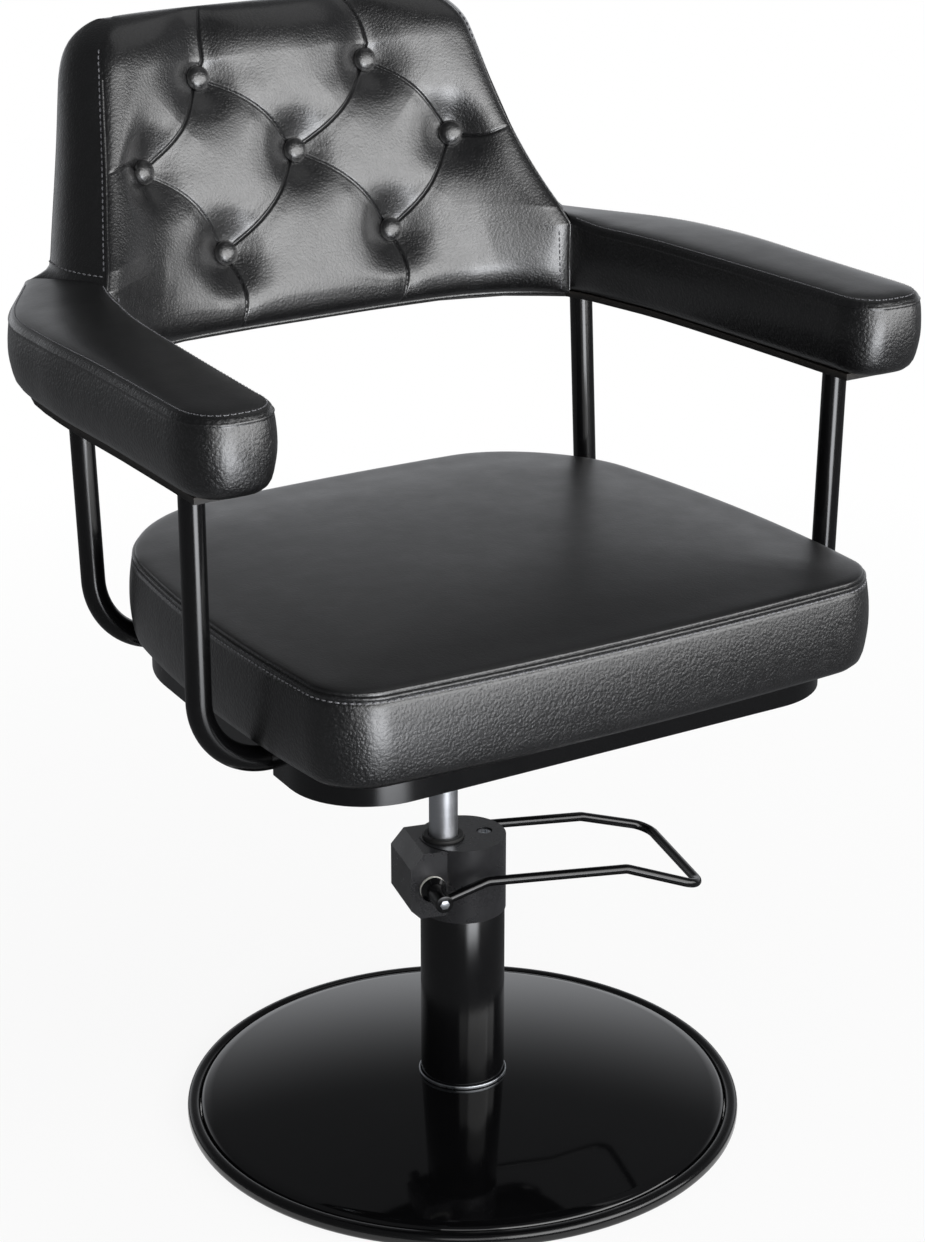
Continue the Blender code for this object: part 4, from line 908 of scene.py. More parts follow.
@dataclass
class FootPump(Assembly):
    """Cast pump head with its chamfered block, the gland, the filler screw and what works inside."""

    body: Body = Body.BASE
    head_edge: float = 0.0013
    block_face: float = 0.0605
    block_root: float = 0.012
    block_half: float = 0.032
    block_bottom: float = 0.219
    chamfer_run: float = 0.0127
    chamfer_rise: float = 0.015
    foot_chamfer: float = 0.009
    top_drop: float = 0.0008
    ram_offset: float = 0.0188
    gland_depth: float = 0.006
    filler_x: float = 0.0215
    filler_radius: float = 0.0075
    filler_depth: float = 0.005
    shaft_x: float = 0.040
    shaft_z: float = 0.249
    shaft_hole: float = 0.0066
    head_proud: float = 0.001
    gland_round: float = 0.0014
    screw_round: float = 0.0006
    socket: float = 0.0028
    socket_depth: float = 0.002
    # How far a cutting tool stands clear of the casting
    clear: float = 0.010
    spring_wire: float = 0.00035
    spring_turns: int = 3

    def block(self, top: float) -> Form:
        """The block cast on the head: a chamfered section drawn across.

        Args:
            top: Height of the head's top.

        Returns:
            The form in the pump's axes.
        """
        high = top - self.top_drop
        section = [(-self.block_root, high), (-self.block_face + self.chamfer_run, high),
                   (-self.block_face, high - self.chamfer_rise),
                   (-self.block_face, self.block_bottom + self.foot_chamfer),
                   (-self.block_face + self.foot_chamfer, self.block_bottom),
                   (-self.block_root, self.block_bottom)]
        rows = [[(x, y, z) for x, z in section] for y in (-self.block_half, self.block_half)]
        return grid_form(np.array(rows))

    def wind_spring(self) -> None:
        """Wind the plunger's return spring, drawn at the one length that the frame gives it."""
        low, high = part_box("plunger_spring")
        middle = (low + high) / 2.0
        reach = half_width("plunger_spring") - self.spring_wire
        turn = np.linspace(0.0, math.tau * self.spring_turns, 24 * self.spring_turns + 1)
        rise = np.linspace(low.z + self.spring_wire, high.z - self.spring_wire, len(turn))
        path = np.column_stack((middle.x + reach * np.cos(turn), middle.y + reach * np.sin(turn), rise))
        spring = self.add("return_spring", sweep(path, self.spring_wire, 8), ZINC, ["plunger_spring"])
        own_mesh(spring)

    def build(self) -> None:
        """Make the casting, the gland, the filler screw and the spring, and dress the inner pieces."""
        low, high = heights("pump_head")
        radius = half_width("column_sleeve") + self.head_proud
        gland = half_width("gland_ring")
        place = self.pump_place
        ram_at = Matrix.Translation((-self.ram_offset, 0.0, 0.0))
        filler_at = Matrix.Translation((self.filler_x, 0.0, 0.0))
        across = Matrix.Rotation(math.pi / 2.0, 4, "X")
        shaft_at = Matrix.Translation((-self.shaft_x, 0.0, self.shaft_z)) @ across
        top = high + self.clear
        beside = 1.5 * radius
        cuts = [turned_plug(gland + GAP, (high - self.gland_depth, top), 64).moved(ram_at),
                turned_plug(self.filler_radius, (high - self.filler_depth, top), 48).moved(filler_at),
                turned_plug(self.shaft_hole, (-beside, beside), 32).moved(shaft_at)]
        barrel = turned_plug(radius, (low, high), 96)
        casting = carved("pump_casting", barrel, [self.block(high)], cuts, self.head_edge)
        casting.transform(place)
        head = self.add("pump_casting", casting, CAST_PAINT, ["pump_head"], sharp=30.0)
        head.modifiers.new("flat_faces", "WEIGHTED_NORMAL")
        ring = turned_ring((half_width("ram") + GAP, gland), heights("gland_ring"), self.gland_round, 5, 72)
        self.add("ram_gland", ring.moved(place @ ram_at), RUBBER, ["gland_ring"])
        foot, face = heights("filler_screw")
        wide = half_width("filler_screw")
        screw = flat_path([(self.socket, face), (wide, face), (wide, foot), (0.0, foot)], self.screw_round)
        floor = face - self.socket_depth
        pit = revolve([(0.0, floor), (self.socket, floor), (self.socket, face)], 6)
        filler = joined([revolve(screw, 48), pit]).moved(place @ filler_at)
        self.add("oil_filler_screw", filler, ZINC, ["filler_screw"])
        self.wind_spring()
        self.dress(ZINC, "pump_cylinder", "ram_piston", "pump_plunger")


@dataclass
class PedalLoop(Assembly):
    """Bent-rod foot loop with its hubs, screws and washers on the cross shaft."""

    body: Body = Body.PEDAL
    shaft_x: float = FootPump.shaft_x
    shaft_z: float = FootPump.shaft_z
    shaft_radius: float = 0.006
    hub_radius: float = 0.0085
    hub_end: float = 0.0695
    hub_lip: float = 0.001
    hub_taper: float = 0.00425
    hub_wall: float = 0.004
    hub_round: float = 0.0009
    hub_screw: HexBolt = HexBolt(0.0080, 0.0016, 0.003)
    screw_gap: float = 0.0001
    bush_radius: float = 0.0125
    bush_thickness: float = 0.0035
    bush_round: float = 0.0005
    running: float = 0.0006
    rod_radius: float = 0.0045
    half_span: float = 0.0623
    rise: Pair = (0.004, 0.263)
    knee: Pair = (0.1414, 0.2553)
    end: Pair = (0.2146, 0.2308)
    end_half_span: float = 0.0714
    bend: float = 0.016
    seat_depth: float = 0.0016

    def build(self) -> None:
        """Make the rod, hubs, screws and washers, and dress the shaft and rocker."""
        place = self.pump_place @ Matrix.Translation((-self.shaft_x, 0.0, self.shaft_z))
        knuckle = Vector((0.0, -self.half_span, 0.0))
        rise, knee, end = (Vector((x + self.shaft_x, -span, z - self.shaft_z)) for (x, z), span in
                           ((self.rise, self.half_span), (self.knee, self.half_span),
                            (self.end, self.end_half_span)))
        start = knuckle + (rise - knuckle).normalized() * (self.hub_radius - self.seat_depth + GAP)
        half = [start, rise, knee, end]
        other = [Vector((spot.x, -spot.y, spot.z)) for spot in reversed(half)]
        rod = sweep(bent_path(half + other, self.bend, 14), self.rod_radius)
        self.add("foot_loop", rod.moved(place), POWDER, ["pedal_rod"])
        foot = FootPump.block_half + GAP
        bush_top = foot + self.bush_thickness
        hub_foot = bush_top + GAP
        bore = self.shaft_radius + GAP
        bore_end = self.hub_end - self.hub_wall
        wide, narrow = self.bush_radius, self.hub_radius
        outline = [(bore, hub_foot), (wide, hub_foot), (wide, hub_foot + self.hub_lip),
                   (narrow, hub_foot + self.hub_taper), (narrow, self.hub_end), (0.0, self.hub_end)]
        hub = revolve([(0.0, bore_end), (bore, bore_end)] + flat_path(outline, self.hub_round), 48)
        eye = self.shaft_radius + self.running
        washer = turned_ring((eye, wide), (foot, bush_top), self.bush_round, 3, 48)
        lift = Matrix.Translation((0.0, 0.0, self.hub_end + self.screw_gap))
        for side, turn in (("near", math.pi / 2.0), ("far", -math.pi / 2.0)):
            aside = place @ Matrix.Rotation(turn, 4, "X")
            self.add("pedal_hub_%s_turned" % side, hub.moved(aside), POWDER, ["pedal_hub_" + side])
            self.add("pedal_washer_" + side, washer.moved(aside), NYLON, ["pedal_bush_" + side])
            self.add("hub_screw_" + side, self.hub_screw.group([aside @ lift]), ZINC)
        self.dress(ZINC, "pedal_shaft", "pedal_rocker")


@dataclass
class SeatFrame(Assembly):
    """Ram, boss, pan, hoops and their clamps under the seat."""

    pan_half: Pair = (0.2539, 0.2297)
    pan_centre_y: float = -0.0312
    pan_corners: Pair = (0.075, 0.126)
    pan_taper: float = 0.0635
    pan_sheet: float = 0.003
    pan_round: float = 0.0022
    pan_fillet: float = 0.004
    skirt_round: float = 0.0005
    notch_round: float = 0.0004
    # How far the last ring of the pan's top is drawn in
    pan_middle: float = 0.12
    boss_foot: float = 0.024
    boss_neck: float = 0.012
    boss_bore: float = 0.020
    boss_round: float = 0.0015
    ram_round: float = 0.001
    tube_radius: float = 0.011
    notch_gap: float = 0.0010
    run_z: float = 0.4762
    bend: float = 0.065
    front_hoop: tuple[float, float, float, float] = (-0.1415, -0.1455, 0.3221, 0.3252)
    rear_hoop: tuple[float, float, float, float] = (0.1611, 0.1785, 0.2688, 0.2695)
    saddle_x: float = 0.125
    screw_spread: float = 0.021
    bolt_spread: Pair = (0.078, 0.068)
    mount_bolt: HexBolt = HexBolt(0.013, 0.006, 0.004)
    strap_screw: HexBolt = HexBolt(0.008, 0.004, 0.0025)

    def pan_ring(self, inset: float, z: float) -> np.ndarray:
        """Level outline of the pan at a height, drawn in by an inset."""
        plan = bowed_outline(self.pan_half[0] - inset, self.pan_half[1] - inset,
                             (self.pan_corners[0] - inset, self.pan_corners[1] - inset), (0.0, 0.0),
                             self.pan_taper, 240)
        return np.column_stack([plan[:, 0], plan[:, 1] + self.pan_centre_y, np.full(len(plan), z)])

    def build(self) -> None:
        """Make the ram, boss, pan and hoops, and dress the clamps."""
        place = Matrix.Translation(self.ram_axis)
        low, high = heights("ram")
        radius = half_width("ram")
        rod = flat_path([(0.0, high), (radius, high), (radius, low), (0.0, low)], self.ram_round)
        self.add("chromed_ram", revolve(rod).moved(place), CHROME, ["ram"])
        low, high = heights("taper_boss")
        bore = radius + GAP
        section = [(bore, high - self.boss_bore), (bore, low), (self.boss_foot, low),
                   (self.boss_foot, low + self.boss_neck), (half_width("taper_boss"), high), (0.0, high)]
        boss = revolve(flat_path(section, self.boss_round, 4), 72)
        self.add("seat_boss", boss.moved(place), POWDER, ["taper_boss"])
        self.build_pan(place)
        for name, node, (run_y, top_y, run, top) in (("front_hoop_tube", "front_hoop", self.front_hoop),
                                                     ("rear_hoop_tube", "rear_hoop", self.rear_hoop)):
            height = heights(node)[1]
            corners = [(-top, top_y, height), (-run, run_y, self.run_z), (run, run_y, self.run_z),
                       (top, top_y, height)]
            tube = sweep(bent_path(corners, self.bend, 24), self.tube_radius, 36)
            self.add(name, tube.moved(place), POWDER, [node])
        sides = [end + "_" + side for end in ("front", "rear") for side in ("left", "right")]
        self.dress(NYLON, *["hoop_saddle_" + name for name in sides])
        self.dress(ZINC, *["hoop_strap_" + name for name in sides])
        self.dress(POWDER, "mount_plate")
        self.build_fasteners(place)

    def build_pan(self, place: Matrix) -> None:
        """Make the pressed pan with its skirt, notched for the hoops.

        Args:
            place: Place of the seat's axes.
        """
        low, high = heights("seat_pan")
        sheet = self.pan_sheet
        ceiling = high - sheet
        edge = self.pan_round
        fillet = self.pan_fillet
        levels = [(self.pan_middle, ceiling), (sheet + fillet, ceiling), (sheet, ceiling - fillet),
                  (sheet, low), (self.skirt_round, low), (0.0, low + self.skirt_round)]
        levels += [(edge * (1.0 - math.cos(a)), high - edge * (1.0 - math.sin(a)))
                   for a in np.radians(np.linspace(0.0, 90.0, 5))]
        levels.append((self.pan_middle, high))
        form = grid_form(np.array([self.pan_ring(inset, z) for inset, z in levels]))
        hole = self.tube_radius + self.notch_gap
        cuts = []
        for run_y in (self.front_hoop[0], self.rear_hoop[0]):
            arch = np.radians(np.linspace(0.0, 180.0, 17))
            section = [(run_y + hole * math.cos(a), self.run_z + hole * math.sin(a)) for a in arch]
            section += [(run_y - hole, low - hole), (run_y + hole, low - hole)]
            beside = 1.5 * self.pan_half[0]
            cuts.append(grid_form(np.array([[(x, y, z) for y, z in section] for x in (-beside, beside)])))
        pressing = carved("pressed_pan", form, [], cuts, self.notch_round)
        pressing.transform(place)
        pan = self.add("pressed_pan", pressing, POWDER, ["seat_pan"], sharp=35.0)
        pan.modifiers.new("flat_faces", "WEIGHTED_NORMAL")

    def build_fasteners(self, place: Matrix) -> None:
        """Make the bolts of the mount plate and the screws of the straps.

        Args:
            place: Place of the seat's axes.
        """
        over = Matrix.Rotation(math.pi, 4, "X")
        signs = [(sx, sy) for sx in (-1.0, 1.0) for sy in (-1.0, 1.0)]
        plate_z = heights("mount_plate")[0] - GAP
        across, along = self.bolt_spread
        bolts = [place @ Matrix.Translation((sx * across, sy * along, plate_z)) @ over for sx, sy in signs]
        self.add("mount_bolts", self.mount_bolt.group(bolts), ZINC)
        strap_z = self.run_z - self.pan_sheet - GAP
        across, along = self.saddle_x, self.screw_spread
        screws = [place @ Matrix.Translation((sx * across, hoop[0] + sy * along, strap_z)) @ over
                  for sx, sy in signs for hoop in (self.front_hoop, self.rear_hoop)]
        self.add("strap_screws", self.strap_screw.group(screws), ZINC)


@dataclass
class BoxedPad(Assembly):
    """A padded body of level rings: an underside, a side band and a crowned top, sewn round its top edge."""

    columns: int = 300
    coarse: float = 0.0055
    fine: float = 0.0011
    near_seam: float = 0.011
    seam_depth: float = 0.0016
    seam_width: float = 0.0013
    loose_top: bool = True
    # Side profile of (distance in, height): over the lower edge from the foot, up the side by shares of its
    # height, and from just under the seam, its second point, over the top from the seam's height
    lower_edge: tuple = ()
    side_line: tuple = ()
    seam_line: tuple = ()
    seam_z: float = 0.0
    # Height above the foot up to which the pad is fixed, and how far it swells above it
    held_foot: float = 0.0
    swell: float = 0.0
    # How far the top panel reaches below the seam
    panel_drop: float = 0.0
    # Length of a cell of the simulated sheet, and columns of the pad to each of its columns
    cell: float = 0.007
    thinned: int = 3
    # Least upward slope of a face that belongs to the top panel
    top_slope: float = 0.72

    def ring(self, inset: float, z: float) -> np.ndarray:
        """Level ring of the pad, drawn in from its plan; each kind of pad has its own."""
        raise NotImplementedError

    def rows(self, controls: Sequence, seam: int) -> tuple[np.ndarray, np.ndarray, float]:
        """Spread rows along a side profile, closer near the seam.

        Args:
            controls: Points of (inset, height) from the underside to the top.
            seam: Which of them is the seam.

        Returns:
            The rows, how far along the profile each is, and how far the seam is.
        """
        line = np.array(controls)
        dense = spline_rows(line, np.linspace(0.0, len(line) - 1.0, 60 * len(line)))
        run = lengths(dense)
        at_seam = float(np.interp(seam * len(dense) / (len(line) - 1.0), np.arange(len(dense)), run))
        spots = np.arange(0.0, run[-1], self.coarse)
        spots = spots[np.abs(spots - at_seam) > self.near_seam + 0.5 * self.coarse]
        close = at_seam + np.arange(-self.near_seam, self.near_seam + 1e-6, self.fine)
        spots = np.unique(np.concatenate([spots, close, run[-1:]]))
        rows = np.column_stack([np.interp(spots, run, dense[:, k]) for k in range(2)])
        return rows, spots, at_seam

    def padded(self, foot: float, start: Sequence) -> tuple[Sheet, np.ndarray, float]:
        """Make the pad's surface, swelled between its seams and drawn in along its top seam.

        Args:
            foot: Height of its foot.
            start: First points of its side profile, on the underside.

        Returns:
            The surface, how far along the profile its rows are, and how far the seam is.
        """
        height = self.seam_z - foot
        controls = list(start) + [(inset, foot + rise) for inset, rise in self.lower_edge]
        controls += [(inset, foot + share * height) for inset, share in self.side_line]
        seam = len(controls) + 1
        controls += [(inset, self.seam_z + rise) for inset, rise in self.seam_line]
        rows, spots, at_seam = self.rows(controls, seam)
        sheet = Sheet(np.array([self.ring(inset, z) for inset, z in rows]), True)
        step = self.cell
        under = np.arange(at_seam, 0.0, -step)[::-1]
        marks = np.concatenate([under, np.arange(at_seam + step, spots[-1], step)])
        levels = np.column_stack([np.interp(marks, spots, rows[:, k]) for k in range(2)])
        rough = Sheet(np.array([self.ring(inset, z)[::self.thinned] for inset, z in levels]), True)
        low = levels[:, 1] < foot + self.held_foot
        fast = np.where((np.abs(marks - at_seam) < 0.5 * step) | low, 1.0, 0.0)
        if not self.loose_top:
            fast[marks > at_seam] = 1.0
        held = np.repeat(fast[:, None], rough.points.shape[1], axis=1)
        shift = rough.swelled(held, self.swell)
        back = np.interp(spots, marks, np.arange(len(marks)))
        sheet.points = sheet.points + rough.read(shift, back, np.arange(self.columns) / self.thinned)
        fall = np.outer(self.seam_fall(spots - at_seam), self.sewn())
        sheet.points = sheet.points - fall[:, :, None] * sheet.normals()
        return sheet, spots, at_seam

    def sewn(self) -> np.ndarray:
        """Which columns have the top seam, as 1 or 0: here all of them."""
        return np.ones(self.columns)

    def seam_fall(self, away: np.ndarray) -> np.ndarray:
        """How deep the leather is drawn in at distances from the seam, positive towards the top."""
        return self.seam_depth * np.exp(-(away / self.seam_width) ** 2)

    def press_top(self, pad: Object) -> None:
        """Give the pad's top panel the finish of leather pressed flat.

        Args:
            pad: The piece.
        """
        above = self.seam_z - self.panel_drop
        pad.data.materials.append(FLAT_LEATHER.material())
        for face in pad.data.polygons:
            if face.normal.z > self.top_slope and face.center.z > above:
                face.material_index = 1

    def sew(self, name: str, sheet: Sheet, spots: np.ndarray, at: float, first: int = 0,
            last: int = 0) -> None:
        """Sew a row of stitches round the pad.

        Args:
            name: Name of the row.
            sheet: Surface of the pad.
            spots: How far along the profile its rows are.
            at: How far along the profile the stitches are.
            first: Column to start at.
            last: Column to end at, or 0 for all the way round.
        """
        row = np.array([np.interp(at, spots, np.arange(len(spots)))])
        columns = np.linspace(first, last or self.columns, 2 * self.columns)
        line = sheet.read(sheet.points, row, columns)[0]
        out = sheet.read(sheet.normals(), row, columns)[0]
        self.add(name, stitches(line, out), THREAD_PAINTED_GLINT)


@dataclass
class SeatCushion(BoxedPad):
    """Boxed seat cushion on its board."""

    half: Pair = (0.2778, 0.2544)
    centre_y: float = -0.044
    corners: Pair = (0.045, 0.119)
    least_corners: Pair = (0.020, 0.040)
    bows: Pair = (0.0109, 0.0214)
    taper: float = 0.0705
    seam_z: float = 0.5783
    lower_edge: tuple = ((0.020, 0.0), (0.0065, 0.0024), (0.0, 0.0105))
    side_line: tuple = ((-0.0035, 0.40), (-0.0035, 0.65), (-0.0015, 0.86))
    seam_line: tuple = ((0.0, -0.0055), (0.0008, -0.0010), (0.0068, 0.0022), (0.030, 0.00375),
                        (0.080, 0.00615), (0.150, 0.0075), (0.235, 0.00795))
    board_inset: float = 0.048
    board_cover: float = 0.03
    held_foot: float = 0.010
    panel_drop: float = 0.002
    whole_inset: float = 0.20
    stitch_drop: float = 0.0062
    dip_depth: float = 0.0008
    dip_width: float = 0.0016
    strip_rise: float = 0.0006
    strip_width: float = 0.0018
    swell: float = 0.0035
    fill: float = 0.85
    columns: int = 420
    coarse: float = 0.0065

    def ring(self, inset: float, z: float) -> np.ndarray:
        """Level ring of the cushion.

        Args:
            inset: How far it is drawn in from the plan at the seam.
            z: Its height.

        Returns:
            Its points in the frame.
        """
        count = self.columns
        drawn = min(inset, self.whole_inset)
        front, rear = (max(corner - drawn, least) for corner, least in zip(self.corners, self.least_corners))
        plan = bowed_outline(self.half[0] - drawn, self.half[1] - drawn, (front, rear), self.bows, self.taper,
                             count)
        plan = plan * (1.0 - (inset - drawn) / (self.half[1] - self.whole_inset))
        ring = np.column_stack([plan[:, 0], plan[:, 1] + self.centre_y, np.full(count, z)])
        return ring + np.array(self.ram_axis)

    def build(self) -> None:
        """Make the cushion and its stitching."""
        foot = heights("seat_cushion")[0]
        board_top = heights("seat_board")[1] + GAP
        wall = self.board_inset - GAP
        start = [(wall + self.board_cover, board_top), (wall, board_top), (wall, foot)]
        sheet, spots, at_seam = self.padded(foot, start)
        cushion = self.add("seat_upholstery", grid_form(sheet.points), PULLED_LEATHER, ["seat_cushion"],
                           sharp=70.0)
        self.press_top(cushion)
        self.sew("seat_topstitch", sheet, spots, at_seam - self.stitch_drop)
        self.dress(PLYWOOD, "seat_board")

    def seam_fall(self, away: np.ndarray) -> np.ndarray:
        """Depth of the seam, with the dip along the topstitch and the swell between the two.

        Args:
            away: Distance from the seam along the profile, positive towards the top.

        Returns:
            Depth at each distance.
        """
        dip = self.dip_depth * np.exp(-((away + self.stitch_drop) / self.dip_width) ** 2)
        swell = self.strip_rise * np.exp(-((away + 0.5 * self.stitch_drop) / self.strip_width) ** 2)
        return super().seam_fall(away) + dip - swell


@dataclass
class ArmPad(BoxedPad):
    """Padded arm that bends in at the rear to meet the back."""

    side: Side = Side.RIGHT
    # Edges of the plan from the front to the mitre at the back, on the right-hand side
    inner: tuple = ((0.2815, -0.205), (0.2735, -0.065), (0.2635, 0.055), (0.2505, 0.125), (0.2450, 0.1625))
    outer: tuple = ((0.3635, -0.205), (0.3605, -0.065), (0.3590, 0.055), (0.3440, 0.150), (0.2820, 0.2555))
    front_y: float = -0.2335
    front_round: Pair = (0.0400, 0.0480)
    front_power: float = 0.80
    seam_z: float = 0.8005
    lower_edge: tuple = ((0.0300, 0.0), (0.0210, 0.0), (0.0095, 0.0032), (0.0028, 0.0100), (-0.0006, 0.0210))
    side_line: tuple = ((-0.0026, 0.52), (-0.00234, 0.72))
    seam_line: tuple = ((-0.0010, -0.0060), (0.0, 0.0), (0.0010, 0.0030), (0.0038, 0.0056), (0.0095, 0.0076),
                        (0.0200, 0.0087), (0.0300, 0.0091), (0.0420, 0.0092))
    # Least width that a ring is drawn in over, and the largest share of it
    least_width: float = 0.004
    most_drawn: float = 0.9
    held_foot: float = 0.006
    panel_drop: float = 0.012
    stitch_margin: int = 2
    seam_depth: float = 0.0009
    seam_width: float = 0.0010
    loose_top: bool = False
    rear_rise: float = 0.004
    rear_drop: float = 0.006
    stitch_rise: float = 0.0086
    swell: float = 0.0015
    fill: float = 0.9
    # Share of the height over which the rise and drop grow, and how late they start
    upper_reach: float = 0.75
    upper_lag: float = 0.25
    # Shares of the run past which the rear rises and drops, and past which the mitre lies
    rise_from: float = 0.72
    drop_from: float = 0.30
    drop_to: float = 0.90
    mitre_from: float = 0.995
    mitre_depth: float = 0.004
    columns: int = 306

    def plan(self) -> tuple[np.ndarray, np.ndarray, np.ndarray, np.ndarray]:
        """Plan of the arm: along its outer edge, round its front, along its inner edge and across the mitre.

        Returns:
            Edge points, middle-line points, shares of the run, and sides from -1 inside to 1 outside.
        """
        along = 3 * self.columns // 8
        arc = self.columns // 16
        across = self.columns - 2 * along - 2 * arc
        shares = np.linspace(0.0, 1.0, along)
        wide, deep = self.front_round
        centre_y = self.front_y + deep
        inner = spline_rows(np.array(((self.inner[0][0], centre_y),) + self.inner[1:]), shares * 4.0)
        outer = spline_rows(np.array(((self.outer[0][0], centre_y),) + self.outer[1:]), shares * 4.0)
        middle = (inner + outer) / 2.0
        turn = np.radians(np.linspace(0.0, 90.0, arc + 1)[1:])
        in_x = wide * (1.0 - np.maximum(np.cos(turn), 0.0) ** self.front_power)
        on_y = centre_y - deep * np.sin(turn) ** self.front_power
        near = np.column_stack([outer[0, 0] - in_x, on_y])
        far = np.column_stack([inner[0, 0] + in_x, on_y])
        nose = np.vstack([near, far[::-1]])
        start = np.repeat(middle[:1], len(nose), axis=0)
        mitre = np.linspace(0.0, 1.0, across + 2)[1:-1]
        edge = np.vstack([outer[::-1], nose, inner, inner[-1] + (outer[-1] - inner[-1]) * mitre[:, None]])
        spine = np.vstack([middle[::-1], start, middle, np.repeat(middle[-1:], across, axis=0)])
        share = np.concatenate([shares[::-1], np.zeros(len(nose)), shares, np.ones(across)])
        flank = np.concatenate([np.ones(along), np.linspace(1.0, -1.0, len(nose)), -np.ones(along),
                                2.0 * mitre - 1.0])
        return edge, spine, share, flank

    def ring(self, inset: float, z: float) -> np.ndarray:
        """Level ring of the arm, drawn towards its middle line and closed on it.

        Args:
            inset: How far it is drawn in from the plan at the seam.
            z: Its height, before the rear rises and drops.

        Returns:
            Its points in the frame.
        """
        edge, spine, share, flank = self.plan()
        inward = spine - edge
        width = np.maximum(np.linalg.norm(inward, axis=1), self.least_width)
        whole = self.seam_line[-1][0]
        even = self.seam_line[-3][0]
        closing = max(inset - even, 0.0) / (whole - even)
        drawn = np.minimum(min(inset, even) / width, self.most_drawn)
        drawn = drawn + (1.0 - drawn) * closing
        places = edge + inward * drawn[:, None]
        foot = heights("arm_pad_right")[0]
        rise = smooth_step((share - self.rise_from) / (1.0 - self.rise_from)) * self.rear_rise
        drop = smooth_step((share - self.drop_from) / (self.drop_to - self.drop_from)) * self.rear_drop
        lean = flank * (1.0 - np.maximum(drawn, 0.0))
        upper = smooth_step((z - foot) / (self.upper_reach * (self.seam_z - foot)) - self.upper_lag)
        lift = upper * (rise * (1.0 - lean) / 2.0 - drop * (1.0 + lean) / 2.0)
        # The mitre is an open end, so its edge keeps the height of the arm's section there
        half_mitre = math.dist(self.inner[-1], self.outer[-1]) / 2.0
        over = np.interp((1.0 - np.abs(flank)) * half_mitre, *np.array(self.seam_line[1:]).T)
        mitre = (share > self.mitre_from) & (z > self.seam_z - self.mitre_depth)
        level = np.where(mitre, np.maximum(z, self.seam_z + over), z)
        sign = self.side.value
        ring = np.column_stack([sign * places[:, 0], places[:, 1], level + lift])
        return (ring + np.array(self.ram_axis))[::sign]

    def sewn(self) -> np.ndarray:
        """Which columns have the top seam: all but the mitre's; see BoxedPad."""
        return np.where(self.plan()[2] > self.mitre_from, 0.0, 1.0)[::self.side.value]

    def build(self) -> None:
        """Make the arm pad and its stitching."""
        label = self.side.name.lower()
        foot = heights("arm_pad_" + label)[0]
        sheet, spots, at_seam = self.padded(foot, [(self.seam_line[-1][0], foot)])
        form = grid_form(sheet.points, True, (False, False))
        pad = self.add("arm_upholstery_" + label, form, PULLED_LEATHER, ["arm_pad_" + label], sharp=70.0)
        self.press_top(pad)
        columns = np.flatnonzero(self.sewn())
        self.sew("arm_topstitch_" + label, sheet, spots, at_seam + self.stitch_rise,
                 int(columns[0]) + self.stitch_margin, int(columns[-1]) - self.stitch_margin)


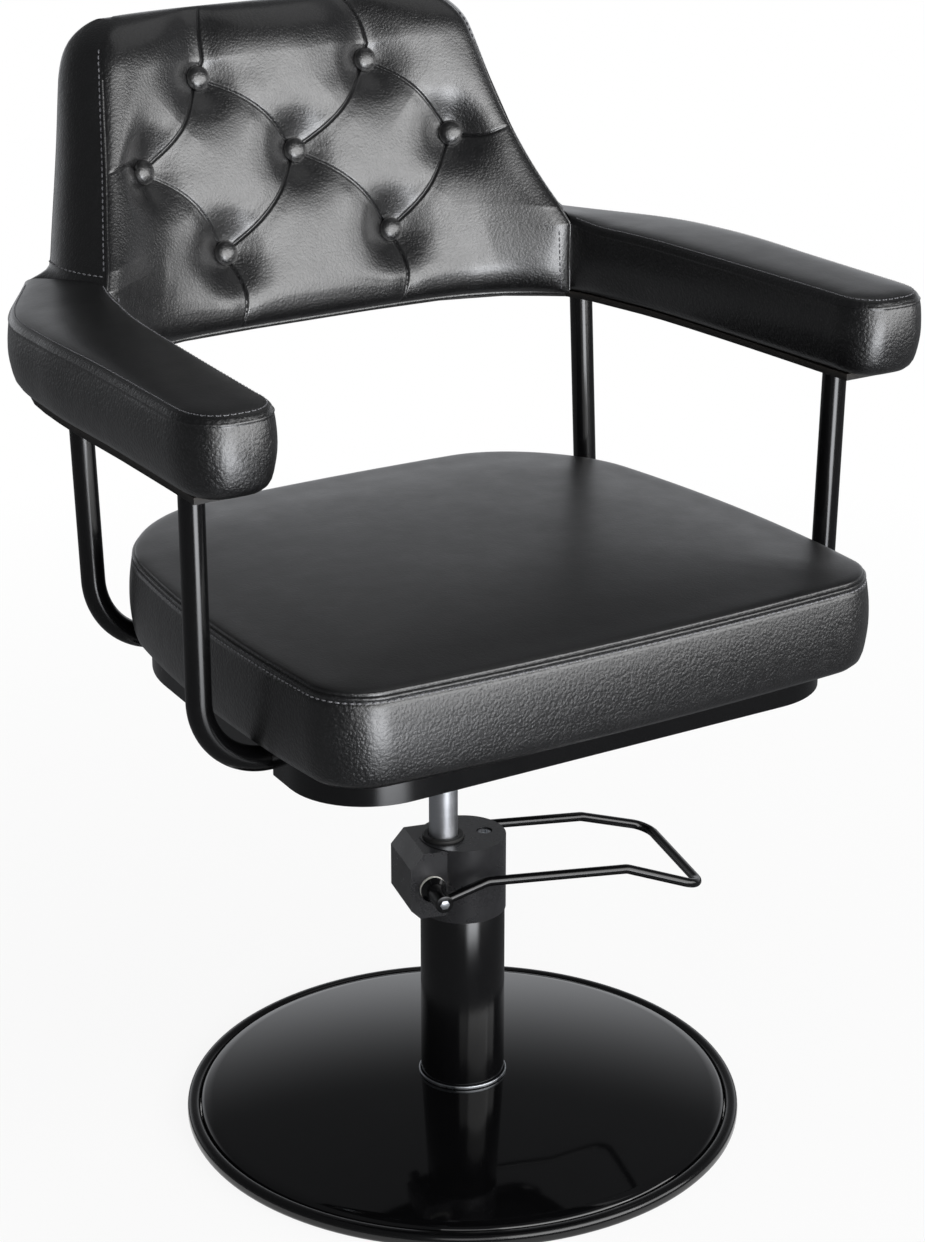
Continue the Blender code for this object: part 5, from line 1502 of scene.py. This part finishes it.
@dataclass
class Back(Assembly):
    """Tufted front pad with its buttons, and the cover with gussets that runs down into the arms."""

    pad_bottom: float = 0.7362
    pad_top: float = 1.0085
    top: float = 1.0165
    flare_z: float = 0.8188
    face_y: float = 0.2421
    recline: float = 0.2935
    wrap_power: float = 4.5
    top_half: float = 0.1875
    side_slope: float = 0.210
    flare_start: float = 0.930
    flare_width: float = 0.0028
    flare_height: float = 0.055
    thickness: float = 0.067
    thinning: float = 0.150
    gusset_spread: float = 0.017
    join_top: float = 0.8135
    join_height: float = 0.0185
    draw: float = 0.010
    draw_height: float = 0.055
    rear_power: float = 3.4
    gusset_depth: float = 1.23
    gusset_swell: float = 0.12
    gusset_power: float = 0.8
    arm_inner: Pair = ArmPad.inner[-1]
    arm_outer: Pair = ArmPad.outer[-1]
    corner: float = 0.034
    crown: float = 0.0190
    # How sharply the pillows fall to the side seams, and over what height to the bottom seam
    rim_power: float = 13.0
    rim_round: float = 0.55
    foot_reach: float = 0.036
    foot_power: float = 2.4
    foot_round: float = 0.6
    valley: float = 0.10
    swell: float = 0.0022
    fill: float = 0.8
    tuft_reach: float = 0.029
    pleat_reach: float = 0.010
    pleat_bow: float = 0.007
    # Buttons that the pleats join; the outer ones lean in, end past the top and rise at the side seams
    pleat_pairs: tuple = ((0, 2), (0, 3), (1, 3), (1, 4), (2, 5), (3, 5), (3, 6), (4, 6))
    pleat_lean: Pair = (0.94, 0.97)
    pleat_past: float = 0.004
    pleat_lift: float = 0.008
    crease_depth: float = 0.0024
    crease_reach: float = 0.0011
    arch_start: float = 0.9950
    roll_start: float = 0.9720
    roll_depth: float = 0.020
    roll_steps: int = 18
    arch_steps: int = 14
    # Angle at which the cover's rounded top stops short of level, in degrees
    arch_end: float = 88.0
    pad_depth: float = 0.0135
    # How far the pad's rear stays below its top and above its bottom, and the cover behind it
    behind_margins: Pair = (0.004, 0.001)
    cover_gap: float = 0.0022
    buttons: tuple = ((-0.0886, 0.9575), (0.0886, 0.9575), (-0.1638, 0.8853), (0.0, 0.8850),
                      (0.1638, 0.8853), (-0.0886, 0.8035), (0.0886, 0.8035))
    button_radius: float = 0.0114
    button_height: float = 0.0088
    button_sink: float = 0.0008
    # A button's height below its dome, the dome's roundness, and the foot by shares of the radius
    button_skirt: float = 0.25
    button_power: float = 0.9
    button_foot: Pair = (0.94, 0.85)
    button_steps: int = 12
    button_fill: float = 0.9
    piping: float = 0.0022
    piping_shift: tuple[float, float, float] = (0.0, 0.001, -0.0005)
    side_piping: float = 0.7
    # Topstitches: columns in from the pad's sides, and clear of the arms and of the rounded top
    stitch_column: int = 9
    arm_clear: float = 0.010
    arch_clear: int = 12
    first_row: int = 4
    across: int = 541
    up: int = 289
    # How much closer the pad's columns stand at its sides
    column_bias: float = 1.15
    # Points of the pad to each of the simulated sheet, and where in the folds that sheet is held
    thinned: int = 3
    hold_from: float = 1.4
    hold_depth: float = 0.45
    # Points of a ring of the cover: behind the pad, over each gusset and over the rear
    front_points: int = 40
    gusset_points: int = 25
    rear_points: int = 90
    ring_step: float = 0.0035
    # Which ring of the cover the stitches at the arms follow
    join_ring: int = 23

    def corner_draw(self, z: Any) -> Any:
        """Half width that the rounding of the top corners takes away at a height."""
        share = np.clip((z - (self.top - self.corner)) / self.corner, 0.0, 1.0)
        return self.corner * (1.0 - np.sqrt(1.0 - 0.97 * share ** 2))

    def seam_half(self, z: Any) -> Any:
        """Half width between the side seams of the front face.

        Args:
            z: Height, or an array of heights.

        Returns:
            Half width there.
        """
        straight = self.top_half + self.side_slope * (self.pad_top - z)
        flare = self.flare_width * (np.maximum(self.flare_start - z, 0.0) / self.flare_height) ** 2
        return np.minimum(straight + flare, self.arm_inner[0]) - self.corner_draw(z)

    def middle_y(self, z: Any) -> Any:
        """Front face on the middle line, before it swells."""
        return self.face_y + self.recline * (z - self.flare_z)

    def front_y(self, x: Any, z: Any) -> Any:
        """Front face at its seams and buttons: reclined, and wrapped forward at the sides.

        Args:
            x: Place across.
            z: Height.

        Returns:
            Depth of the face.
        """
        middle = self.middle_y(z)
        wrap = np.minimum(middle, self.face_y) - self.arm_inner[1]
        return middle - wrap * (np.abs(x) / self.arm_inner[0]) ** self.wrap_power

    def join(self, z: Any) -> Any:
        """How far the rear has spread into the arms, from 0 above to 1 below."""
        return smooth_step((self.join_top - z) / self.join_height)

    def top_draw(self, z: Any) -> Any:
        """How far the rear face and the gussets are drawn in towards the top edge."""
        return self.draw * np.maximum(1.0 - (self.top - z) / self.draw_height, 0.0) ** 2

    def rear_half(self, z: float) -> float:
        """Half width of the rear face; it spreads into the arms at the bottom."""
        narrow = float(self.seam_half(max(z, self.join_top))) + self.gusset_spread - self.top_draw(z)
        return narrow + (self.arm_outer[0] - narrow) * self.join(z)

    def rear_y(self, x: Any, z: float) -> Any:
        """Rear face: a little steeper than the front, and wrapped round the corners.

        Args:
            x: Places across.
            z: Height.

        Returns:
            Depth of the face.
        """
        middle = self.middle_y(z)
        thick = self.thickness - self.thinning * (z - self.flare_z) - self.top_draw(z)
        edge = self.front_y(self.seam_half(z), z) + self.gusset_depth * thick
        edge = edge + (self.arm_outer[1] - edge) * self.join(z)
        return middle + thick - (middle + thick - edge) * (np.abs(x) / self.rear_half(z)) ** self.rear_power

    def pleats(self) -> list[np.ndarray]:
        """Sewn pleats of the tufting, each a gently bowed line of (x, z) points.

        Returns:
            The lines.
        """
        b = [np.array(spot) for spot in self.buttons]
        upper, lower = self.pleat_lean
        pairs = [(b[i], b[j]) for i, j in self.pleat_pairs]
        pairs += [(b[i], np.array((b[i][0] * upper, self.top + self.pleat_past))) for i in (0, 1)]
        pairs += [(b[i], np.array((b[i][0] * lower, self.pad_bottom))) for i in (5, 6)]
        pairs += [(b[i], np.array((math.copysign(float(self.seam_half(b[i][1])), b[i][0]),
                                   b[i][1] + self.pleat_lift))) for i in (2, 4)]
        lines = []
        for start, end in pairs:
            t = np.linspace(0.0, 1.0, 14)[:, None]
            aside = np.array((end[1] - start[1], start[0] - end[0]))
            aside = aside / np.linalg.norm(aside)
            aside = aside * (1.0 if aside[0] >= 0.0 else -1.0)
            lines.append(start + (end - start) * t + aside * self.pleat_bow * np.sin(math.pi * t))
        return lines

    def pad_height(self, x: np.ndarray, z: np.ndarray, u: np.ndarray) -> np.ndarray:
        """How far the tufted pad stands forward of its seams.

        Args:
            x: Places across.
            z: Heights.
            u: Shares across, from -1 to 1.

        Returns:
            Height of the pad at each place.
        """
        away = np.min([np.hypot(x - bx, z - bz) for bx, bz in self.buttons], axis=0)
        crease = np.full(x.shape, 1.0)
        for line in self.pleats():
            for (ax, az), (bx, bz) in zip(line, line[1:]):
                share = ((x - ax) * (bx - ax) + (z - az) * (bz - az)) / ((bx - ax) ** 2 + (bz - az) ** 2)
                share = np.clip(share, 0.0, 1.0)
                crease = np.minimum(crease, np.hypot(x - ax - share * (bx - ax), z - az - share * (bz - az)))
        rim = np.maximum(1.0 - np.abs(u) ** self.rim_power, 0.0)
        foot = 1.0 - np.clip(1.0 - (z - self.pad_bottom) / self.foot_reach, 0.0, 1.0) ** self.foot_power
        pillow = self.crown * rim ** self.rim_round * np.maximum(foot, 0.0) ** self.foot_round
        pit = 1.0 - np.exp(-(away / self.tuft_reach) ** 2)
        valley = self.valley * np.exp(-(crease / self.pleat_reach) ** 2)
        fold = self.crease_depth * np.exp(-(crease / self.crease_reach) ** 2) * pillow / self.crown
        return pillow * pit * (1.0 - valley) - fold

    def pad_sheet(self) -> Sheet:
        """Surface of the front pad, from its bottom seam over the top edge to its top seam.

        Returns:
            The surface in the frame.
        """
        face = np.linspace(0.0, 1.0, self.up)
        z = self.pad_bottom + (self.roll_start - self.pad_bottom) * face
        u = np.linspace(-1.0, 1.0, self.across)
        u = np.sign(u) * (1.0 - (1.0 - np.abs(u)) ** self.column_bias)
        x = u[None, :] * self.seam_half(z)[:, None]
        high = np.repeat(z[:, None], self.across, axis=1)
        flat = Sheet(np.stack([x, self.front_y(x, high), high], axis=-1), False)
        tall = self.pad_height(x, high, np.repeat(u[None, :], self.up, axis=0))
        full = flat.points + flat.normals() * tall[:, :, None]
        full = full + self.swelling(flat, tall)
        roll = []
        rise = self.top - self.roll_start
        last = full[-1]
        for angle in np.radians(np.linspace(0.0, 90.0, self.roll_steps + 1))[1:]:
            level = self.roll_start + rise * math.sin(angle)
            wide = u * self.seam_half(level)
            base = self.front_y(wide, level)
            proud = (self.front_y(x[-1], self.roll_start) - last[:, 1]) * math.cos(angle)
            roll.append(np.column_stack([wide + (last[:, 0] - x[-1]) * math.cos(angle),
                                         base - proud + self.roll_depth * (1.0 - math.cos(angle)),
                                         np.full(self.across, level) + (last[:, 2] - self.roll_start)
                                         * math.cos(angle)]))
        axis = np.array(self.ram_axis)
        return Sheet(np.concatenate([full, np.array(roll)]) + axis, False)

    def swelling(self, flat: Sheet, tall: np.ndarray) -> np.ndarray:
        """Swell the pillows between the buttons and pleats by cloth simulation.

        Args:
            flat: The pad's surface before its pillows.
            tall: Height of the pillows.

        Returns:
            How each point of the pad moves.
        """
        rows = np.linspace(0.0, self.up - 1.0, self.up // self.thinned)
        columns = np.linspace(0.0, self.across - 1.0, self.across // self.thinned)
        shape = flat.points + flat.normals() * tall[:, :, None]
        rough = Sheet(flat.read(shape, rows, columns), False)
        depth = flat.read(np.repeat(tall[:, :, None], 3, axis=2), rows, columns)[:, :, 0]
        held = smooth_step(self.hold_from - depth / (self.hold_depth * self.crown))
        held[:2] = held[:, :2] = held[:, -2:] = 1.0
        shift = rough.swelled(held, self.swell)
        fine_rows = np.arange(self.up) * (len(rows) - 1.0) / (self.up - 1.0)
        fine_columns = np.arange(self.across) * (len(columns) - 1.0) / (self.across - 1.0)
        return rough.read(shift, fine_rows, fine_columns)

    def roll_back(self, z: float) -> float:
        """How far the pad's rolled top edge has gone back at a height."""
        share = min(max((z - self.roll_start) / (self.top - self.roll_start), 0.0), 1.0)
        return self.roll_depth * (1.0 - math.sqrt(1.0 - share ** 2))

    def middle_line(self, x: np.ndarray, z: float) -> np.ndarray:
        """Depth midway between the hidden front of the cover and its rear, at places across."""
        seam = self.seam_half(z)
        return (self.front_y(np.clip(x, -seam, seam), z) + self.pad_depth + self.rear_y(x, z)) / 2.0

    def cover_ring(self, z: float, share: float) -> np.ndarray:
        """Level ring of the cover: its hidden front, a gusset, the rear and the other gusset.

        Args:
            z: Height.
            share: How far over the rounded top it is, from 0 to 1.

        Returns:
            Its points.
        """
        seam = float(self.seam_half(z))
        half = float(self.rear_half(z))
        u = np.linspace(-1.0, 1.0, self.front_points)
        back = self.roll_back(z)
        under = max(self.pad_depth, back) + self.cover_gap
        front = np.column_stack([u * (seam - 2.0 * GAP), self.front_y(u * seam, z) + under])
        w = np.linspace(1.0, -1.0, self.rear_points)
        rear = np.column_stack([w * half, self.rear_y(w * half, z)])
        start = np.array((seam, float(self.front_y(seam, z)) + back))
        end = rear[0]
        outward = (end - start)[::-1] * np.array((1.0, -1.0))
        t = np.linspace(0.0, 1.0, self.gusset_points + 1)[:-1, None]
        swell = self.gusset_swell * (1.0 - self.join(z))
        gusset = start + (end - start) * t + outward * swell * np.sin(math.pi * t) ** self.gusset_power
        mirror = gusset[::-1] * np.array((-1.0, 1.0))
        plan = np.vstack([front, gusset, rear, mirror])
        behind = np.maximum(plan[:, 1] - self.middle_line(plan[:, 0], z), 0.0)
        plan[:, 1] -= behind * (1.0 - math.sqrt(1.0 - share ** 2))
        return np.column_stack([plan, np.full(len(plan), z)])

    def folded(self, ring: np.ndarray) -> np.ndarray:
        """A ring of the cover closed on its middle line."""
        z = float(ring[0, 2])
        return np.column_stack([ring[:, 0], self.middle_line(ring[:, 0], z), ring[:, 2]])

    def build(self) -> None:
        """Make the pad, cover, buttons, piping and stitching."""
        sheet = self.pad_sheet()
        axis = np.array(self.ram_axis)
        u = np.linspace(-1.0, 1.0, self.across)
        behind = []
        below, above = self.behind_margins
        for z in (self.pad_top - below, self.pad_bottom + above):
            wide = u * self.seam_half(z)
            deep = self.front_y(wide, z) + self.pad_depth
            behind.append(np.column_stack([wide, deep, np.full(self.across, z)]))
        loops = np.concatenate([sheet.points, np.array(behind) + axis]).transpose(1, 0, 2)
        pad = self.add("tufted_pad", grid_form(loops), LEATHER, ["back_pad"], sharp=80.0)
        levels = np.arange(heights("back_cover")[0], self.arch_start, self.ring_step)
        arch = self.top - 4.0 * GAP - self.arch_start
        rings = [self.cover_ring(float(z), 0.0) for z in levels]
        rings += [self.cover_ring(self.arch_start + arch * math.sin(a), math.sin(a))
                  for a in np.radians(np.linspace(0.0, self.arch_end, self.arch_steps))]
        cover = Sheet(np.array(rings) + axis, True)
        closed = np.array([self.folded(rings[0])] + rings + [self.folded(rings[-1])]) + axis
        piece = self.add("back_upholstery", grid_form(closed, True, (False, False)), LEATHER, ["back_cover"],
                         sharp=70.0)
        self.build_buttons()
        self.build_trim(sheet, cover)
        self.dress(PLYWOOD, "back_board", "arm_rail")

    def build_buttons(self) -> None:
        """Make the covered buttons at the bottom of their pits."""
        wide, tall, sink = self.button_radius, self.button_height, self.button_sink
        skirt = self.button_skirt
        dome = [(0.0, tall)]
        for step in range(1, self.button_steps + 1):
            angle = math.radians(90.0 - 90.0 / self.button_steps * step)
            dome.append((wide * math.cos(angle) ** self.button_power,
                         tall * (skirt + (1.0 - skirt) * math.sin(angle))))
        upper, lower = self.button_foot
        dome += [(upper * wide, sink), (lower * wide, -sink), (0.0, -sink)]
        step = MM
        for number, (x, z) in enumerate(self.buttons, start=1):
            slope = Vector((-(self.front_y(x + step, z) - self.front_y(x - step, z)) / (2.0 * step), 1.0,
                            -(self.front_y(x, z + step) - self.front_y(x, z - step)) / (2.0 * step)))
            outward = -slope.normalized()
            spot = Vector((x, float(self.front_y(x, z)), z)) + self.ram_axis + outward * (2.0 * GAP)
            place = Matrix.Translation(spot) @ outward.to_track_quat("Z", "Y").to_matrix().to_4x4()
            button = self.add("covered_button_%d" % number, revolve(dome, 48).moved(place), LEATHER,
                              ["back_button_%d" % number], sharp=70.0)

    def build_trim(self, sheet: Sheet, cover: Sheet) -> None:
        """Make the piping along the pad's edges and the topstitching beside its seams.

        Args:
            sheet: Surface of the pad.
            cover: Surface of the cover.
        """
        points = sheet.points
        foot = points[0] + np.array(self.piping_shift)
        self.add("bottom_piping", sweep(foot[2:-2:3], self.piping, 12), LEATHER)
        for label, column in (("left", 0), ("right", -1)):
            edge = points[self.first_row:self.up - 2, column]
            self.add("side_piping_" + label, sweep(edge[::3], self.side_piping * self.piping, 10), LEATHER)
        out = sheet.normals()
        face = self.roll_start - self.pad_bottom
        arm_top = int(self.up * (self.join_top - self.arm_clear - self.pad_bottom) / face)
        line = slice(self.first_row, arm_top)
        for label, column in (("left", self.stitch_column), ("right", -1 - self.stitch_column)):
            self.add("pad_topstitch_" + label, stitches(points[line, column], out[line, column]), THREAD_PAINTED_GLINT)
        out = cover.normals()
        join = self.join_ring
        gusset = slice(join + 1, len(cover.points) - self.arch_clear)
        seam = self.front_points + 1
        rear = self.front_points + self.gusset_points
        for name, column in (("gusset_topstitch_right", seam), ("gusset_topstitch_left", -2),
                             ("rear_topstitch_right", rear + 3),
                             ("rear_topstitch_left", rear + self.rear_points - 4)):
            self.add(name, stitches(cover.points[gusset, column], out[gusset, column]), THREAD_PAINTED_GLINT)
        for name, columns in (("arm_join_stitch_right", slice(seam, rear + 1)),
                              ("arm_join_stitch_left", slice(-self.gusset_points - 1, -1))):
            self.add(name, stitches(cover.points[join, columns], out[join, columns]), THREAD_PAINTED_GLINT)


@dataclass(frozen=True)
class Lamp:
    """A soft rectangular lamp, by its middle, its width and height, and its power."""

    name: str
    place: tuple[float, float, float]
    size: Pair
    watts: float

    def build(self, aim: Vector) -> None:
        """Make the lamp, turned to a point.

        Args:
            aim: The point.
        """
        lamp = bpy.data.lights.new(self.name, "AREA")
        lamp.shape = "RECTANGLE"
        lamp.size, lamp.size_y = self.size
        lamp.energy = self.watts
        obj = bpy.data.objects.new(self.name, lamp)
        obj.location = self.place
        obj.rotation_euler = (aim - Vector(self.place)).to_track_quat("-Z", "Y").to_euler()
        obj.visible_camera = False
        bpy.context.scene.collection.objects.link(obj)
        LOG.info("%s, %.1f W", self.name, self.watts)


@dataclass
class Studio:
    """Camera, floor, backdrop and soft lights."""

    camera_place: tuple[float, float, float] = (-1.3909, -2.2061, 1.4836)
    camera_tilt: float = 69.283
    camera_turn: float = -32.23
    lens_mm: float = 88.71
    sensor_mm: float = 36.0
    world_level: float = 0.25
    wall_level: float = 0.10
    horizon_level: float = 0.84
    carpet_level: float = 0.15
    painted_pool_level: float = 11.0
    carpet_start: float = 0.28
    floor_half: float = 9.0
    wall_radius: float = 7.5
    # Heights of the foot of the wall and of the carpet above the floor
    wall_foot: float = 0.02
    carpet_z: float = 0.001
    # Distances from the chair between which the floor turns from lit paper to plain white
    paper_reach: Pair = (0.4, 2.0)
    paper_white: float = 0.90
    # Painted light on the wall's glow: how squarely its bright part faces the camera, and where it fades
    # upwards
    horizon_spread: Pair = (0.25, 0.85)
    horizon_fade: Pair = (0.14, 0.55)
    # Painted pool of the key light glowing on the carpet: its direction, how closely it is followed, and
    # where it starts and is full
    painted_pool_aim: tuple[float, float, float] = (-0.1, -1.0, 0.0)
    painted_pool_spread: Pair = (0.95, 0.997)
    painted_pool_reach: Pair = (0.8, 2.1)
    lamps: tuple = (Lamp("key_softbox", (0.80, -4.00, 1.45), (4.4, 2.8), 195.0),
                    Lamp("right_softbox", (3.10, -2.60, 1.30), (1.8, 2.0), 40.0),
                    Lamp("left_softbox", (-2.05, -3.60, 1.35), (1.6, 2.4), 24.0),
                    Lamp("upper_softbox", (0.80, -3.70, 3.55), (4.2, 1.2), 24.0),
                    Lamp("top_softbox", (0.90, 0.40, 2.80), (1.6, 1.4), 2.5))
    aim: tuple[float, float, float] = (0.0, 0.0, 0.70)

    def build(self) -> None:
        """Make the camera, the lights, the floor and the world."""
        scene = bpy.context.scene
        scene.view_settings.view_transform = "Standard"
        data = bpy.data.cameras.new("photo_camera")
        data.lens = self.lens_mm
        data.sensor_width = self.sensor_mm
        camera = bpy.data.objects.new("photo_camera", data)
        camera.location = self.camera_place
        camera.rotation_euler = (math.radians(self.camera_tilt), 0.0, math.radians(self.camera_turn))
        scene.collection.objects.link(camera)
        scene.camera = camera
        for lamp in self.lamps:
            lamp.build(Vector(self.aim))
        self.build_world()
        self.build_floor()
        self.build_wall()
        self.build_carpet()

    def seen(self, tree: NodeTree) -> Node:
        """Add nodes that tell whether a ray comes from the camera, a reflection or glass.

        Args:
            tree: Node tree to add to.

        Returns:
            Node whose value is 1 for those rays.
        """
        path = add_node(tree, "ShaderNodeLightPath")
        first = add_node(tree, "ShaderNodeMath", {"operation": "MAXIMUM"},
                         {0: (path, "Is Camera Ray"), 1: (path, "Is Glossy Ray")})
        return add_node(tree, "ShaderNodeMath", {"operation": "MAXIMUM"},
                        {0: (first, "Value"), 1: (path, "Is Transmission Ray")})

    def build_world(self) -> None:
        """Light all round, white where it is seen and lower where it only lights."""
        world = bpy.data.worlds.new("studio")
        world.use_nodes = True
        tree = world.node_tree
        tree.nodes.clear()
        level = add_node(tree, "ShaderNodeMapRange", {"To Min": self.world_level, "To Max": 1.0},
                         {"Value": (self.seen(tree), "Value")})
        shade = add_node(tree, "ShaderNodeBackground", {"Color": linear("#ffffff")},
                         {"Strength": (level, "Result")})
        add_node(tree, "ShaderNodeOutputWorld", None, {"Surface": (shade, "Background")})
        bpy.context.scene.world = world

    def build_floor(self) -> None:
        """White floor that keeps a soft shadow."""
        half = self.floor_half
        spots = np.array([[(x, y, 0.0) for x in (-half, half)] for y in (-half, half)])
        floor = solid("studio_floor", grid_form(spots, False, (False, False)))
        made, tree = self.plain_material("white_paper_floor")
        coords = add_node(tree, "ShaderNodeTexCoord")
        away = add_node(tree, "ShaderNodeVectorMath", {"operation": "LENGTH"}, {0: (coords, "Object")})
        # Near the chair the paper takes light and shadow, and far off it is plain white
        near, far = self.paper_reach
        white = add_node(tree, "ShaderNodeMapRange",
                         {"From Min": near, "From Max": far, "To Min": self.paper_white, "To Max": 1.0},
                         {"Value": (away, "Value")})
        share = add_node(tree, "ShaderNodeMath", {"operation": "MULTIPLY"},
                         {0: (self.seen(tree), "Value"), 1: (white, "Result")})
        paper = add_node(tree, "ShaderNodeBsdfDiffuse", {"Color": linear("#f4f4f4")})
        glow = add_node(tree, "ShaderNodeEmission", {"Color": linear("#ffffff"), "Strength": 1.0})
        mixed = add_node(tree, "ShaderNodeMixShader", None,
                         {0: (share, "Value"), 1: (paper, "BSDF"), 2: (glow, "Emission")})
        add_node(tree, "ShaderNodeOutputMaterial", None, {"Surface": (mixed, "Shader")})
        floor.data.materials.append(made)

    def build_wall(self) -> None:
        """Studio wall that shows only in reflections, as a screen round a dark product does, glowing with
        painted light.
        """
        reach = self.wall_radius
        turn = np.radians(np.linspace(0.0, 90.0, 13))
        dome = revolve([(reach * math.cos(a), self.wall_foot + reach * math.sin(a)) for a in turn], 48)
        made, tree = self.plain_material("dim_studio_wall")
        coords = add_node(tree, "ShaderNodeTexCoord")
        # The wall's glow is painted light: bright near the horizon behind the chair, falling off to the sides
        # and upwards
        yaw = math.radians(self.camera_turn)
        toward = (-math.sin(yaw) / reach, math.cos(yaw) / reach, 0.0)
        ahead = add_node(tree, "ShaderNodeVectorMath", {"operation": "DOT_PRODUCT", 1: toward},
                         {0: (coords, "Object")})
        dim, full = self.horizon_spread
        behind = add_node(tree, "ShaderNodeMapRange", {"interpolation_type": "SMOOTHSTEP", "From Min": dim,
                                                       "From Max": full, "To Max": self.horizon_level},
                          {"Value": (ahead, "Value")})
        split = add_node(tree, "ShaderNodeSeparateXYZ", None, {"Vector": (coords, "Object")})
        start, end = self.horizon_fade
        low = add_node(tree, "ShaderNodeMapRange",
                       {"interpolation_type": "SMOOTHSTEP", "From Min": start * reach,
                        "From Max": end * reach, "To Min": 1.0, "To Max": 0.0}, {"Value": (split, "Z")})
        level = add_node(tree, "ShaderNodeMath", {"operation": "MULTIPLY_ADD", 2: self.wall_level},
                         {0: (behind, "Result"), 1: (low, "Result")})
        self.mirror_only(solid("studio_wall", dome), made, level)

    def build_carpet(self) -> None:
        """Studio carpet that shows only in reflections, a dim glow with a painted pool of the key light on
        it.
        """
        ring = revolve([(self.carpet_start, self.carpet_z), (self.wall_radius, self.carpet_z)], 48)
        made, tree = self.plain_material("dim_studio_carpet")
        coords = add_node(tree, "ShaderNodeTexCoord")
        aim = add_node(tree, "ShaderNodeVectorMath", {"operation": "NORMALIZE"}, {0: (coords, "Object")})
        front = add_node(tree, "ShaderNodeVectorMath", {"operation": "DOT_PRODUCT", 1: self.painted_pool_aim},
                         {0: (aim, "Vector")})
        # The painted pool of light in front draws a reflected line down each tube and lifts the side bands
        dim, full = self.painted_pool_spread
        wide = add_node(tree, "ShaderNodeMapRange",
                        {"interpolation_type": "SMOOTHSTEP", "From Min": dim, "From Max": full},
                        {"Value": (front, "Value")})
        away = add_node(tree, "ShaderNodeVectorMath", {"operation": "LENGTH"}, {0: (coords, "Object")})
        start, end = self.painted_pool_reach
        far = add_node(tree, "ShaderNodeMapRange", {"interpolation_type": "SMOOTHSTEP", "From Min": start,
                                                    "From Max": end, "To Max": self.painted_pool_level},
                       {"Value": (away, "Value")})
        level = add_node(tree, "ShaderNodeMath", {"operation": "MULTIPLY_ADD", 2: self.carpet_level},
                         {0: (wide, "Result"), 1: (far, "Result")})
        self.mirror_only(solid("studio_carpet", ring), made, level)

    def plain_material(self, name: str) -> tuple[Material, NodeTree]:
        """Make an empty material.

        Args:
            name: Its name.

        Returns:
            The material and its node tree.
        """
        made = bpy.data.materials.new(name)
        made.use_nodes = True
        made.node_tree.nodes.clear()
        return made, made.node_tree

    def mirror_only(self, obj: Object, material: Material,
                    level: Node) -> None:
        """Let an object glow, and show in reflections alone.

        Args:
            obj: The object.
            material: Its material, still without a shader.
            level: Node that gives the strength of the glow.
        """
        tree = material.node_tree
        glow = add_node(tree, "ShaderNodeEmission", {"Color": linear("#f2f4f8")},
                        {"Strength": (level, "Value")})
        add_node(tree, "ShaderNodeOutputMaterial", None, {"Surface": (glow, "Emission")})
        obj.data.materials.append(material)
        obj.visible_camera = False
        obj.visible_diffuse = False
        obj.visible_shadow = False
        obj.visible_transmission = False


def main() -> None:
    """Build the studio and every assembly in order."""
    logging.basicConfig(level=logging.INFO, format="%(message)s")
    Studio().build()
    for assembly in (RoundBase(), FootPump(), PedalLoop(), SeatFrame(), SeatCushion(),
                     ArmPad(side=Side.RIGHT), ArmPad(side=Side.LEFT), Back()):
        assembly.build()


if __name__ == "__main__":
    main()
